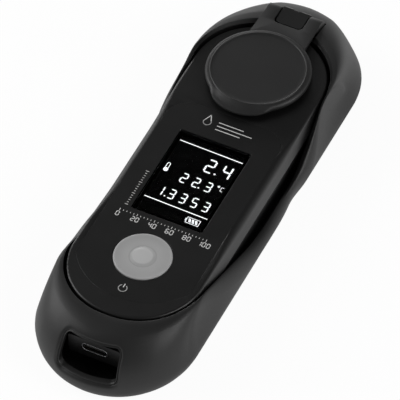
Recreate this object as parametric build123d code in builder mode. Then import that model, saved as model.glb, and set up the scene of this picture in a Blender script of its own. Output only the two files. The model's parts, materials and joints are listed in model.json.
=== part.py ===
import math
import os

from build123d import *

# Handheld digital refractometer, in millimetres.
# It lies on its back: +Z up out of the face, +Y towards the end with the sample lid,
# -Y towards the end with the charging socket. The origin is the middle of the base.

# Driving sizes of the outer shell
overall_length = 168.0
overall_width = 54.0
bottom_rounding = 7.0
rim_height_far = 24.0
rim_height_near = 23.0
dome_length = 19.3
dome_spare_rise = 0.05
side_lean = 3.1
lean_power = 2.4
shell_floor = 2.2
dome_wall = 2.4
dome_rim_depth = 3.5
rim_rounding = 0.8

# Number of sections that shape the shell below and above its bottom rounding, and its hollows
low_steps = 4
high_steps = 6
hollow_steps = 3

# The scooped waist, where the rim dips to a finger's height
waist_height = 9.0
waist_length = 27.5
ramp_near_share = 0.63
ramp_near_beyond_centre = 5.3
ramp_far_before_centre = 0.3
ramp_top_roundness_near = 1.0
ramp_foot_roundness_near = 1.5
ramp_foot_roundness_far = 0.94
ramp_top_roundness_far = 0.77

# The inner body, a straight-sided body with round ends that carries the face
face_far_setback = 20.9
face_near_setback = 17.3
face_height = 22.7
body_side_inset = 4.5
body_face_lean = 0.6
body_foot_lean = 1.6
body_widest_height = 16.5
body_split_height = 8.0
face_edge_rounding = 0.9
body_wall = 1.6
face_thickness = 1.8
rim_gap = 0.5
pocket_waist_gap = 0.8
gasket_width = 0.64
gasket_thickness = 0.5

# Display
window_width = 24.7
window_from_dish = 31.0
window_from_button = 16.6
window_thickness = 1.2
window_sunk = 0.05
window_corner = 0.6
panel_border = 1.35
panel_thickness = 1.7
backlight_thickness = 1.8

# Face overlay
label_thickness = 0.3
label_side_margin = 2.05
label_from_dish = 19.2
label_corner = 8.0
label_foot_flatness = 3.35
label_foot_from_centre = 8.0

# Button and its switch
button_from_centre = 3.1
button_radius = 9.33
button_travel = 0.6
button_proud = 0.25
button_flange = 0.9
button_flange_thickness = 0.8
button_stem_radius = 2.4
button_nub_radius = 3.3
button_nub_proud = 0.2
switch_width = 6.2
switch_corner = 0.5
switch_height = 3.4
plunger_radius = 1.75
plunger_proud = 1.2
plunger_depth = 1.6

# Main board and battery
board_underside = 10.8
board_thickness = 1.6
board_side_gap = 2.8
board_beyond_centre = 5.2
board_from_dish = 17.9
board_corner = 2.0
board_tongue_half_width = 5.2
standoff_radius = 2.2
standoff_inset = 3.0
standoff_end_inset = 4.0
chip_width = 7.0
chip_thickness = 1.1
chip_corner = 0.3
battery_side_inset = 1.5
battery_from_near_centre = 6.8
battery_from_board_end = 12.0
battery_thickness = 5.5
battery_corner = 2.0
pad_thickness = 0.5
lead_radius = 0.7
lead_spacing = 3.0
lead_length = 2.5
plug_height = 2.4
plug_width = 8.0
plug_length = 4.5

# Charging socket and the snout that holds it
socket_width = 8.94
socket_height = 3.16
socket_depth = 7.35
socket_skin = 0.3
socket_corner = 1.5
socket_tongue_width = 6.7
socket_tongue_thickness = 0.7
snout_setback = 8.5
snout_half_width = 9.0
snout_top = 17.8
snout_underside = 9.8
snout_wall = 1.0
snout_rounding = 0.8
window_behind_snout = 2.0
window_sill = 8.8
window_head = 19.3
window_foot_half_width = 9.9
window_head_half_width = 9.4
window_rounding = 1.8

# Sample dish, prism and optics
dish_from_centre = 0.7
dish_inside_lid = 4.6
dish_flange_width = 1.6
dish_rim_width = 1.2
dish_flange = 1.2
dish_proud = 0.2
dish_window_radius = 4.9
dish_depth = 1.95
dish_bowl_sag = 0.5
optics_top = 20.2
optics_foot = 8.3
optics_lug_side_gap = 6.4
optics_lug_overhang = 2.9
optics_half_length = 11.5
prism_half_width = 5.2
prism_half_length = 7.0
prism_slab = 1.4
prism_shoulder = 6.0
prism_foot_half_length = 3.0
prism_foot = 14.5
light_height = 14.0
light_radius = 1.5
light_length = 5.0
light_flange = 0.5
light_flange_thickness = 1.0
lens_radius = 2.4
lens_thickness = 1.4
seal_section = 0.5
sensor_half_width = 4.5
sensor_half_height = 3.0
sensor_thickness = 1.6
sensor_board_thickness = 1.2
sensor_board_top = 19.0
probe_radius = 1.0
probe_height = 1.5
probe_from_prism = 1.6
ribbon_half_width = 4.0
ribbon_thickness = 0.2
ribbon_reach = 3.0
ribbon_bend = 1.0

# Sample lid and hinge
lid_inside_face = 4.8
lid_underside = 24.3
lid_top = 26.3
lid_ring_inset = 1.7
lid_ring_half_width = 0.35
lid_ring_proud = 0.2
lid_edge_thickness = 0.9
lid_shoulder_lean = 0.35
lid_shoulder_drop = 0.44
tab_half_width = 9.0
tab_proud = 1.5
tab_length = 6.6
tab_thickness = 1.0
seal_width = 1.5
seal_over_dish = 0.6
seal_groove = 0.7
seal_gap = 0.05
hinge_setback = 15.1
hinge_height = 22.2
ear_radius = 3.0
ear_half_spread = 9.4
ear_slot_half_width = 5.05
neck_from_dish = 8.1
neck_slot_reach = 5.8
neck_top = 25.4
knuckle_half_width = 4.6
knuckle_top = 24.9
knuckle_reach = 5.1
knuckle_notch_radius = 1.9
pin_radius = 1.0
pin_half_length = 8.2
hinge_pocket_half_width = 9.75
hinge_pocket_floor = 18.4
hinge_pad_underside = 16.0
hinge_pad_half_width = 12.0
hinge_pad_reach = 8.9
hinge_plate = 0.5
rim_notch_half_width = 9.9

# Fasteners
case_screw_radius = 1.1
case_screw_head_radius = 2.0
case_screw_head = 1.1
case_screw_sunk = 0.2
case_screw_length = 9.0
case_screw_far_angle = 36.0
case_screw_near_angle = 47.5
case_screw_near_gap = 0.5
post_radius = 2.5
small_screw_radius = 0.8
small_screw_head_radius = 1.5
small_screw_head = 0.9
small_screw_length = 4.5
hinge_screw_x = 2.6
hinge_screw_back = 2.4
hinge_screw_reach = 2.4
optics_lug_radius = 2.6
optics_lug_height = 2.0
sensor_screw_inset = 2.4
sensor_screw_rise = 1.2
sensor_screw_length = 3.2
screw_slot = 0.5
screw_slot_share = 0.75

# Underside plate, left blank
plate_width = 26.0
plate_length = 52.0
plate_recess = 0.3
plate_thickness = 0.2
plate_corner = 2.0

# Clearances
press_gap = 0.02
pin_gap = 0.05
slide_gap = 0.1
loose_gap = 0.25
pocket_swing_gap = 0.6

# How far a cut or a marking-out runs past the faces that it must clear
clear_above = 1.0
clear_through = 60.0

# Heights and places that follow from the sizes above
half_length = overall_length / 2
half_width = overall_width / 2
body_widest = half_width - body_side_inset
body_foot = body_widest - body_foot_lean
face_half_width = body_widest - body_face_lean
far_centre = half_length - face_far_setback - face_half_width
near_centre = face_near_setback + face_half_width - half_length
ramp_near_top = near_centre - ramp_near_beyond_centre
ramp_far_top = far_centre - ramp_far_before_centre
ramp_near_length = ramp_near_share * (ramp_far_top - ramp_near_top - waist_length)
ramp_far_length = ramp_far_top - ramp_near_top - waist_length - ramp_near_length
waist_near = ramp_near_top + ramp_near_length
waist_far = ramp_far_top - ramp_far_length
dish_centre = far_centre + dish_from_centre
lid_radius = face_half_width - lid_inside_face
lid_ring_radius = lid_radius - lid_ring_inset
tab_reach = lid_radius + tab_proud
dish_radius = lid_radius - dish_inside_lid
dish_body_radius = dish_radius - dish_flange_width
dish_bowl_radius = dish_radius - dish_rim_width
seal_outer_radius = dish_radius + seal_over_dish
seal_inner_radius = seal_outer_radius - seal_width
button_centre = near_centre + button_from_centre
window_far = dish_centre - window_from_dish
window_near = button_centre + window_from_button
window_length = window_far - window_near
display_centre = (window_far + window_near) / 2
label_half_width = face_half_width - label_side_margin
label_top = dish_centre - label_from_dish
label_foot_radius = label_half_width + label_foot_flatness
label_foot_centre = near_centre + label_foot_from_centre
board_half_width = body_foot - body_wall - board_side_gap
board_near = near_centre - board_beyond_centre
board_far = dish_centre - board_from_dish
battery_width = 2 * (board_half_width - battery_side_inset)
battery_near = near_centre + battery_from_near_centre
battery_end = board_far - battery_from_board_end
battery_length = battery_end - battery_near
battery_centre = (battery_near + battery_end) / 2
snout_face = snout_setback - half_length
optics_lug_x = body_foot - body_wall - optics_lug_side_gap
optics_half_width = optics_lug_x - optics_lug_overhang
sensor_screw_x = optics_half_width - sensor_screw_inset
sensor_screw_height = optics_foot + sensor_screw_rise
probe_centre = dish_centre + prism_half_length + probe_from_prism
hinge_centre = half_length - hinge_setback
neck_start = dish_centre + neck_from_dish
neck_slot_start = hinge_centre - neck_slot_reach
knuckle_front = hinge_centre - knuckle_reach
hinge_pad_front = hinge_centre - hinge_pad_reach
case_screw_far_reach = body_foot - body_wall - post_radius
case_screw_near_reach = case_screw_far_reach - case_screw_near_gap
casing_floor = shell_floor + body_wall
face_underside = face_height - face_thickness
board_top = board_underside + board_thickness
window_top = face_height - window_sunk
window_seat = window_top - window_thickness
panel_top = window_seat - slide_gap
panel_seat = panel_top - panel_thickness
backlight_seat = panel_seat - backlight_thickness
panel_width = window_width - 2 * panel_border
panel_length = window_length - 2 * panel_border
label_seat = face_height - label_thickness
flange_top = face_underside - slide_gap
switch_top = board_top + switch_height
plunger_top = switch_top + plunger_proud
stem_foot = plunger_top + pin_gap
socket_centre_height = board_top + socket_height / 2
dish_top = face_height + dish_proud
dish_seat = dish_top - dish_flange
prism_top = dish_top - dish_depth
hinge_pocket_back = hinge_centre + ear_radius + pocket_swing_gap
hinge_pocket_front = hinge_centre - ear_radius - pocket_swing_gap
snout_root = near_centre - body_foot + 2 * body_wall
snout_way_root = snout_root + body_wall
board_near_edge = snout_face + snout_wall + slide_gap

os.makedirs("parts", exist_ok=True)


def finish(piece, name):
    """Label a finished piece and write it as its own file."""
    piece.part.label = name
    export_step(piece.part, f"parts/{name}.step")


def shell_half_width(height):
    """Half the shell's width at a height: round below, leaning in above."""
    if height < bottom_rounding:
        drop = bottom_rounding - height
        return half_width - bottom_rounding + math.sqrt(bottom_rounding**2 - drop**2)
    rise = (height - bottom_rounding) / (rim_height_far - bottom_rounding)
    return half_width - side_lean * rise**lean_power


def shell_tip(height, inset=0.0):
    """How far the shell's round end reaches at a height, or a wall's inside with an inset."""
    if height < bottom_rounding:
        drop = bottom_rounding - height
        return half_length - bottom_rounding + math.sqrt(bottom_rounding**2 - drop**2) - inset
    rise_axis = rim_height_far - bottom_rounding + dome_spare_rise - inset
    rise = (height - bottom_rounding) / rise_axis
    return half_length - dome_length + (dome_length - inset) * math.sqrt(1 - rise**2)


def stadium(height, radius, near_tip, far_tip):
    """Outline with straight sides and round ends, lying flat at a height."""
    with BuildSketch(Plane.XY.offset(height)) as outline:
        with Locations((0, (near_tip + far_tip) / 2)):
            SlotOverall(far_tip - near_tip, 2 * radius, rotation=90)
    return outline.sketch


def body_stadium(height, radius):
    """Outline of the inner body's kind, round its two end centres."""
    return stadium(height, radius, near_centre - radius, far_centre + radius)


def body_ring(height, outer, inner):
    """Flat ring that follows the inner body's outline."""
    middle = (near_centre + far_centre) / 2
    span = far_centre - near_centre
    with BuildSketch(Plane.XY.offset(height)) as ring:
        with Locations((0, middle)):
            SlotOverall(span + 2 * outer, 2 * outer, rotation=90)
            SlotOverall(span + 2 * inner, 2 * inner, rotation=90, mode=Mode.SUBTRACT)
    return ring.sketch


def shell_stadium(height):
    """Outline of the outer shell at a height."""
    return stadium(height, shell_half_width(height), -shell_tip(height), shell_tip(height))


def upright(y):
    """Vertical axis through a point of the centre line."""
    return Axis((0, y, 0), (0, 0, 1))


# Places of the fasteners
far_turn = math.radians(case_screw_far_angle)
near_turn = math.radians(case_screw_near_angle)
case_screw_places = [
    (side * x, y)
    for side in (-1, 1)
    for x, y in (
        (
            case_screw_far_reach * math.cos(far_turn),
            far_centre + case_screw_far_reach * math.sin(far_turn),
        ),
        (
            case_screw_near_reach * math.cos(near_turn),
            near_centre - case_screw_near_reach * math.sin(near_turn),
        ),
    )
]
board_screw_places = [
    (side * (board_half_width - standoff_inset), place)
    for side in (-1, 1)
    for place in (board_near + standoff_end_inset, board_far - standoff_end_inset)
]
optics_screw_places = [(side * optics_lug_x, dish_centre) for side in (-1, 1)]
hinge_screw_places = [(side * hinge_screw_x, hinge_centre - hinge_screw_back) for side in (-1, 1)]

# Outer shell: a thick soft sleeve, closed below, with a pocket for the inner body
pocket_top = face_half_width + rim_gap
pocket_waist = body_widest + pocket_waist_gap
shell_heights = [
    bottom_rounding * (1 - math.cos(math.radians(90 * step / low_steps)))
    for step in range(low_steps)
] + [
    bottom_rounding
    + (rim_height_far - bottom_rounding) * math.sin(math.radians(90 * step / high_steps))
    for step in range(high_steps + 1)
]
dome_roof = rim_height_far - dome_rim_depth
hollow_heights = [shell_floor] + [
    bottom_rounding + (dome_roof - bottom_rounding) * step / hollow_steps
    for step in range(hollow_steps + 1)
]

with BuildPart() as end_hollows:
    loft(
        sections=[
            stadium(
                height, face_half_width, -shell_tip(height, dome_wall), shell_tip(height, dome_wall)
            )
            for height in hollow_heights
        ]
    )
    with BuildSketch(Plane.XY.offset(hinge_pad_underside)):
        with Locations((0, hinge_pad_front)):
            Rectangle(
                2 * hinge_pad_half_width,
                half_length - hinge_pad_front,
                align=(Align.CENTER, Align.MIN),
            )
    extrude(amount=clear_through, mode=Mode.SUBTRACT)

with BuildPart() as outer_shell:
    loft(sections=[shell_stadium(height) for height in shell_heights])
    with BuildSketch(Plane.YZ):
        with BuildLine():
            rim_line = FilletPolyline(
                (-clear_through - half_length, rim_height_near),
                (ramp_near_top, rim_height_near),
                (waist_near, waist_height),
                (waist_far, waist_height),
                (ramp_far_top, rim_height_far),
                (clear_through + half_length, rim_height_far),
                radius=[
                    ramp_top_roundness_near * ramp_near_length,
                    ramp_foot_roundness_near * ramp_near_length,
                    ramp_foot_roundness_far * ramp_far_length,
                    ramp_top_roundness_far * ramp_far_length,
                ],
            )
            Polyline(
                rim_line @ 1,
                (clear_through + half_length, clear_through),
                (-clear_through - half_length, clear_through),
                rim_line @ 0,
            )
        make_face()
    extrude(amount=overall_width, both=True, mode=Mode.SUBTRACT)
    rim_faces = outer_shell.faces().filter_by(
        lambda face: face.normal_at().Z > 0.5 and face.center().Z > bottom_rounding
    )
    rim_outline = ShapeList(
        edge
        for face in rim_faces
        for edge in face.edges()
        if sum(edge.is_same(other) for shared in rim_faces for other in shared.edges()) == 1
    )
    fillet(rim_outline, rim_rounding)

    # Pocket for the inner body, and the hollow under each round end
    loft(
        sections=[
            body_stadium(shell_floor, pocket_waist),
            body_stadium(waist_height, pocket_waist),
            body_stadium(rim_height_far + clear_above, pocket_top),
        ],
        ruled=True,
        mode=Mode.SUBTRACT,
    )
    add(end_hollows.part, mode=Mode.SUBTRACT)

    # Opening in the near end, in front of the charging socket
    with BuildSketch(Plane.XZ.offset(-snout_face - window_behind_snout)):
        Polygon(
            (-window_foot_half_width, window_sill),
            (window_foot_half_width, window_sill),
            (window_head_half_width, window_head),
            (-window_head_half_width, window_head),
            align=None,
        )
        fillet(vertices(), window_rounding)
    extrude(amount=clear_through, mode=Mode.SUBTRACT)

    # Recess that the hinge block and the lid's ears drop into, and a notch in the rim for the neck
    with BuildSketch(Plane.XY.offset(hinge_pocket_floor)):
        with Locations((0, hinge_pocket_front)):
            Rectangle(
                2 * hinge_pocket_half_width,
                hinge_pocket_back - hinge_pocket_front,
                align=(Align.CENTER, Align.MIN),
            )
    extrude(amount=clear_through, mode=Mode.SUBTRACT)
    with BuildSketch(Plane.XY.offset(face_height)):
        with Locations((0, far_centre)):
            Rectangle(
                2 * rim_notch_half_width,
                hinge_pocket_back - far_centre,
                align=(Align.CENTER, Align.MIN),
            )
    extrude(amount=clear_through, mode=Mode.SUBTRACT)
    with BuildSketch(Plane.XY.offset(hinge_pad_underside)):
        with Locations(*hinge_screw_places):
            Circle(small_screw_radius + slide_gap)
    extrude(amount=hinge_pocket_floor - hinge_pad_underside, mode=Mode.SUBTRACT)

    # Sunk screw holes and the recess of the blank plate, in the underside
    with BuildSketch():
        with Locations(*case_screw_places):
            Circle(case_screw_radius + slide_gap)
    extrude(amount=shell_floor, mode=Mode.SUBTRACT)
    with BuildSketch():
        with Locations(*case_screw_places):
            Circle(case_screw_head_radius + loose_gap)
    extrude(amount=case_screw_sunk + case_screw_head, mode=Mode.SUBTRACT)
    with BuildSketch():
        RectangleRounded(plate_width + 2 * slide_gap, plate_length + 2 * slide_gap, plate_corner)
    extrude(amount=plate_recess, mode=Mode.SUBTRACT)
finish(outer_shell, "outer_shell")

# Blank plate on the underside
with BuildPart() as rear_plate:
    with BuildSketch(Plane.XY.offset(plate_recess - plate_thickness)):
        RectangleRounded(plate_width, plate_length, plate_corner)
    extrude(amount=plate_thickness)
finish(rear_plate, "rear_plate")

# Back casing: a shallow tub with standoffs for the board and posts for the optics
with BuildPart() as back_casing:
    extrude(body_stadium(shell_floor, body_foot), amount=body_split_height - shell_floor)
    fillet(faces().sort_by(Axis.Z)[0].edges(), body_wall / 2)
    extrude(
        body_stadium(casing_floor, body_foot - body_wall),
        amount=body_split_height - casing_floor,
        mode=Mode.SUBTRACT,
    )
    with BuildSketch(Plane.XY.offset(casing_floor)):
        with Locations(*board_screw_places):
            Circle(standoff_radius)
    extrude(amount=board_underside - casing_floor)
    with BuildSketch(Plane.XY.offset(casing_floor)):
        with Locations(*optics_screw_places):
            Circle(standoff_radius)
    extrude(amount=optics_foot - casing_floor)
    with BuildSketch(Plane.XY.offset(board_top - small_screw_length)):
        with Locations(*board_screw_places):
            Circle(small_screw_radius + press_gap)
    extrude(amount=small_screw_length, mode=Mode.SUBTRACT)
    with BuildSketch(Plane.XY.offset(optics_foot + optics_lug_height - small_screw_length)):
        with Locations(*optics_screw_places):
            Circle(small_screw_radius + press_gap)
    extrude(amount=small_screw_length, mode=Mode.SUBTRACT)
    with BuildSketch(Plane.XY.offset(shell_floor)):
        with Locations(*case_screw_places):
            Circle(case_screw_radius + slide_gap)
    extrude(amount=body_wall, mode=Mode.SUBTRACT)
finish(back_casing, "back_casing")

# Front casing: the face, the body's sides, the posts and the snout around the socket
gasket_middle = body_foot - body_wall / 2
gasket_outer = gasket_middle + gasket_width / 2
gasket_inner = gasket_middle - gasket_width / 2
with BuildPart() as front_casing:
    loft(
        sections=[
            body_stadium(body_split_height, body_foot),
            body_stadium(body_widest_height, body_widest),
            body_stadium(face_height, face_half_width),
        ],
        ruled=True,
    )
    fillet(faces().sort_by(Axis.Z)[-1].edges(), face_edge_rounding)
    loft(
        sections=[
            body_stadium(body_split_height, body_foot - body_wall),
            body_stadium(body_widest_height, body_widest - body_wall),
            body_stadium(face_underside, face_half_width - body_wall),
        ],
        ruled=True,
        mode=Mode.SUBTRACT,
    )

    # Snout, and the way through it for the board's tongue and the socket
    with BuildSketch(Plane.XZ.offset(-snout_root)):
        with Locations((0, (snout_top + snout_underside) / 2)):
            RectangleRounded(2 * snout_half_width, snout_top - snout_underside, snout_rounding)
    extrude(amount=snout_root - snout_face)
    with BuildSketch(Plane.XZ.offset(-snout_way_root)):
        with Locations((0, (snout_top + snout_underside) / 2)):
            Rectangle(
                2 * (snout_half_width - snout_wall),
                snout_top - snout_underside - 2 * snout_wall,
            )
    extrude(amount=snout_way_root - snout_face - snout_wall, mode=Mode.SUBTRACT)
    with BuildSketch(Plane.XZ.offset(-snout_face - 2 * snout_wall)):
        with Locations((0, socket_centre_height)):
            RectangleRounded(
                socket_width + 2 * slide_gap, socket_height + 2 * slide_gap, socket_corner
            )
    extrude(amount=3 * snout_wall, mode=Mode.SUBTRACT)

    # Posts for the case screws
    with BuildSketch(Plane.XY.offset(casing_floor)):
        with Locations(*case_screw_places):
            Circle(post_radius)
    extrude(amount=face_underside - casing_floor)
    with BuildSketch(Plane.XY.offset(casing_floor)):
        with Locations(*case_screw_places):
            Circle(case_screw_radius + press_gap)
    extrude(amount=case_screw_length, mode=Mode.SUBTRACT)

    # Display aperture with a seat for the window
    with BuildSketch(Plane.XY.offset(window_seat)):
        with Locations((0, display_centre)):
            RectangleRounded(
                window_width + 2 * slide_gap, window_length + 2 * slide_gap, window_corner
            )
    extrude(amount=clear_through, mode=Mode.SUBTRACT)
    with BuildSketch(Plane.XY.offset(face_underside)):
        with Locations((0, display_centre)):
            Rectangle(panel_width + 2 * slide_gap, panel_length + 2 * slide_gap)
    extrude(amount=clear_through, mode=Mode.SUBTRACT)

    # Button hole, and the stepped hole of the sample dish
    with BuildSketch(Plane.XY.offset(face_underside)):
        with Locations((0, button_centre)):
            Circle(button_radius + loose_gap)
        with Locations((0, dish_centre)):
            Circle(dish_body_radius + slide_gap)
    extrude(amount=clear_through, mode=Mode.SUBTRACT)
    with BuildSketch(Plane.XY.offset(dish_seat)):
        with Locations((0, dish_centre)):
            Circle(dish_radius + slide_gap)
    extrude(amount=clear_through, mode=Mode.SUBTRACT)

    # Shallow recess for the face overlay, and the gasket's groove in the lower edge
    with BuildSketch(Plane.XY.offset(label_seat)) as label_recess:
        with BuildLine():
            foot_side = label_foot_centre - math.sqrt(label_foot_radius**2 - label_half_width**2)
            ThreePointArc(
                (-label_half_width, foot_side),
                (0, label_foot_centre - label_foot_radius),
                (label_half_width, foot_side),
            )
            Polyline(
                (label_half_width, foot_side),
                (label_half_width, label_top),
                (-label_half_width, label_top),
                (-label_half_width, foot_side),
            )
        make_face()
        fillet(vertices().group_by(Axis.Y)[-1], label_corner)
    extrude(amount=label_thickness, mode=Mode.SUBTRACT)
    extrude(
        body_ring(body_split_height, gasket_outer, gasket_inner),
        amount=gasket_thickness + press_gap,
        mode=Mode.SUBTRACT,
    )
finish(front_casing, "front_casing")

# Gasket between the two casings
with BuildPart() as casing_gasket:
    extrude(
        body_ring(body_split_height, gasket_outer - press_gap, gasket_inner + press_gap),
        amount=gasket_thickness,
    )
finish(casing_gasket, "casing_gasket")

# Screws that hold the shell and both casings together, from below
with BuildPart() as case_screws:
    with BuildSketch(Plane.XY.offset(case_screw_sunk)):
        with Locations(*case_screw_places):
            Circle(case_screw_head_radius)
    extrude(amount=case_screw_head)
    with BuildSketch(Plane.XY.offset(case_screw_sunk + case_screw_head)):
        with Locations(*case_screw_places):
            Circle(case_screw_radius)
    extrude(amount=case_screw_length)
    with BuildSketch(Plane.XY.offset(case_screw_sunk)):
        with Locations(*case_screw_places):
            Rectangle(2 * screw_slot_share * case_screw_head_radius, screw_slot)
            Rectangle(screw_slot, 2 * screw_slot_share * case_screw_head_radius)
    extrude(amount=case_screw_head / 2, mode=Mode.SUBTRACT)
finish(case_screws, "case_screws")

# Face overlay: one thin printed sheet round the display and the button
with BuildPart() as face_label:
    with BuildSketch(Plane.XY.offset(label_seat)):
        add(label_recess.sketch_local)
        with Locations((0, display_centre)):
            RectangleRounded(
                window_width + 2 * slide_gap,
                window_length + 2 * slide_gap,
                window_corner,
                mode=Mode.SUBTRACT,
            )
        with Locations((0, button_centre)):
            Circle(button_radius + loose_gap, mode=Mode.SUBTRACT)
    extrude(amount=label_thickness)
finish(face_label, "face_label")

# Display: window, panel, backlight and the carrier that stands on the board
with BuildPart() as display_window:
    with BuildSketch(Plane.XY.offset(window_seat)):
        with Locations((0, display_centre)):
            RectangleRounded(window_width, window_length, window_corner)
    extrude(amount=window_thickness)
finish(display_window, "display_window")

with BuildPart() as display_panel:
    with BuildSketch(Plane.XY.offset(panel_seat)):
        with Locations((0, display_centre)):
            Rectangle(panel_width, panel_length)
    extrude(amount=panel_thickness)
finish(display_panel, "display_panel")

with BuildPart() as display_backlight:
    with BuildSketch(Plane.XY.offset(backlight_seat)):
        with Locations((0, display_centre)):
            Rectangle(panel_width, panel_length)
    extrude(amount=backlight_thickness)
finish(display_backlight, "display_backlight")

with BuildPart() as display_carrier:
    with BuildSketch(Plane.XY.offset(board_top)):
        with Locations((0, display_centre)):
            Rectangle(window_width + 2 * body_wall, window_length + 2 * body_wall)
            Rectangle(
                panel_width - 2 * body_wall, panel_length - 2 * body_wall, mode=Mode.SUBTRACT
            )
    extrude(amount=panel_seat - board_top)
    with BuildSketch(Plane.XY.offset(backlight_seat)):
        with Locations((0, display_centre)):
            Rectangle(panel_width + 2 * slide_gap, panel_length + 2 * slide_gap)
    extrude(amount=clear_through, mode=Mode.SUBTRACT)
finish(display_carrier, "display_carrier")

# Main board, with a tongue that reaches into the snout
with BuildPart() as main_board:
    with BuildSketch(Plane.XY.offset(board_underside)):
        with Locations((0, board_near)):
            Rectangle(
                2 * board_half_width, board_far - board_near, align=(Align.CENTER, Align.MIN)
            )
        fillet(vertices(), board_corner)
        with Locations((0, board_near_edge)):
            Rectangle(
                2 * board_tongue_half_width,
                board_near - board_near_edge,
                align=(Align.CENTER, Align.MIN),
            )
        with Locations(*board_screw_places):
            Circle(small_screw_radius + slide_gap, mode=Mode.SUBTRACT)
    extrude(amount=board_thickness)
finish(main_board, "main_board")

with BuildPart() as board_screws:
    with BuildSketch(Plane.XY.offset(board_top)):
        with Locations(*board_screw_places):
            Circle(small_screw_head_radius)
    extrude(amount=small_screw_head)
    with BuildSketch(Plane.XY.offset(board_top - small_screw_length + slide_gap)):
        with Locations(*board_screw_places):
            Circle(small_screw_radius)
    extrude(amount=small_screw_length - slide_gap)
    with BuildSketch(Plane.XY.offset(board_top + small_screw_head / 2)):
        with Locations(*board_screw_places):
            Rectangle(2 * screw_slot_share * small_screw_head_radius, screw_slot)
            Rectangle(screw_slot, 2 * screw_slot_share * small_screw_head_radius)
    extrude(amount=small_screw_head, mode=Mode.SUBTRACT)
finish(board_screws, "board_screws")

# Controller chip, between the carrier and the far edge of the board
chip_centre = (display_centre + window_length / 2 + body_wall + board_far - ribbon_reach) / 2
with BuildPart() as controller_chip:
    with BuildSketch(Plane.XY.offset(board_top)):
        with Locations((0, chip_centre)):
            Rectangle(chip_width, chip_width)
    extrude(amount=chip_thickness)
    chamfer(edges().filter_by(Axis.Z), chip_corner)
finish(controller_chip, "controller_chip")

# Battery on its foam pad, with two leads to a plug under the board
with BuildPart() as battery_pad:
    with BuildSketch(Plane.XY.offset(casing_floor)):
        with Locations((0, battery_centre)):
            Rectangle(battery_width - 2 * battery_corner, battery_length - 2 * battery_corner)
    extrude(amount=pad_thickness)
finish(battery_pad, "battery_pad")

battery_seat = casing_floor + pad_thickness
with BuildPart() as battery_pack:
    with BuildSketch(Plane.XY.offset(battery_seat)):
        with Locations((0, battery_centre)):
            Rectangle(battery_width, battery_length)
    extrude(amount=battery_thickness)
    fillet(edges().filter_by(Axis.Y), battery_corner)
finish(battery_pack, "battery_pack")

with BuildPart() as battery_plug:
    with BuildSketch(Plane.XY.offset(board_underside - plug_height)):
        with Locations((0, battery_end + lead_length)):
            Rectangle(plug_width, plug_length, align=(Align.CENTER, Align.MIN))
    extrude(amount=plug_height)
finish(battery_plug, "battery_plug")

lead_height = (board_underside - plug_height + battery_seat + battery_thickness) / 2
with BuildPart() as battery_leads:
    with BuildSketch(Plane.XZ.offset(-battery_end)):
        with Locations((-lead_spacing / 2, lead_height), (lead_spacing / 2, lead_height)):
            Circle(lead_radius)
    extrude(amount=-lead_length)
finish(battery_leads, "battery_leads")

# Charging socket: a metal shell with a contact tongue inside
with BuildPart() as usb_socket:
    with BuildSketch(Plane.XZ.offset(-snout_face)):
        with Locations((0, socket_centre_height)):
            RectangleRounded(socket_width, socket_height, socket_corner)
    extrude(amount=-socket_depth)
    with BuildSketch(Plane.XZ.offset(-snout_face)):
        with Locations((0, socket_centre_height)):
            RectangleRounded(
                socket_width - 2 * socket_skin,
                socket_height - 2 * socket_skin,
                socket_corner - socket_skin,
            )
    extrude(amount=-socket_depth + 2 * socket_skin, mode=Mode.SUBTRACT)
finish(usb_socket, "usb_socket")

with BuildPart() as usb_tongue:
    with BuildSketch(Plane.XZ.offset(-snout_face - 2 * socket_skin)):
        with Locations((0, socket_centre_height)):
            Rectangle(socket_tongue_width, socket_tongue_thickness)
    extrude(amount=-socket_depth + 4 * socket_skin)
finish(usb_tongue, "usb_tongue")

# Tactile switch under the button, with its plunger
with BuildPart() as switch_body:
    with BuildSketch(Plane.XY.offset(board_top)):
        with Locations((0, button_centre)):
            RectangleRounded(switch_width, switch_width, switch_corner)
    extrude(amount=switch_height)
    with BuildSketch(Plane.XY.offset(switch_top - plunger_depth - button_travel - slide_gap)):
        with Locations((0, button_centre)):
            Circle(plunger_radius + slide_gap)
    extrude(amount=clear_through, mode=Mode.SUBTRACT)
finish(switch_body, "switch_body")

with BuildPart() as switch_plunger:
    with BuildSketch(Plane.XY.offset(switch_top - plunger_depth)):
        with Locations((0, button_centre)):
            Circle(plunger_radius)
    extrude(amount=plunger_depth + plunger_proud)
finish(switch_plunger, "switch_plunger")

# Measuring button: a frosted cap with a nub, a flange under the face and a stem
button_top = face_height + button_proud
with BuildPart() as measure_button:
    with BuildSketch(Plane.XZ.offset(-button_centre)):
        Polygon(
            (0, stem_foot),
            (button_stem_radius, stem_foot),
            (button_stem_radius, flange_top - button_flange_thickness),
            (button_radius + button_flange, flange_top - button_flange_thickness),
            (button_radius + button_flange, flange_top),
            (button_radius, flange_top),
            (button_radius, button_top),
            (button_nub_radius, button_top),
            (button_nub_radius, button_top + button_nub_proud),
            (0, button_top + button_nub_proud),
            align=None,
        )
    revolve(axis=upright(button_centre))
    cap_edge = edges().filter_by(GeomType.CIRCLE).group_by(Axis.Z)[-2].sort_by(SortBy.RADIUS)[-1]
    fillet(cap_edge, button_proud)
finish(measure_button, "measure_button")

# Sample dish: a polished steel ring with a shallow bowl down to the prism
with BuildPart() as sample_dish:
    with BuildSketch(Plane.XZ.offset(-dish_centre)):
        with BuildLine():
            Polyline(
                (dish_bowl_radius, dish_top),
                (dish_radius, dish_top),
                (dish_radius, dish_seat),
                (dish_body_radius, dish_seat),
                (dish_body_radius, optics_top),
                (dish_window_radius, optics_top),
                (dish_window_radius, prism_top),
            )
            SagittaArc(
                (dish_window_radius, prism_top),
                (dish_bowl_radius, dish_top),
                -dish_bowl_sag,
            )
        make_face()
    revolve(axis=upright(dish_centre))
finish(sample_dish, "sample_dish")

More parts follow.
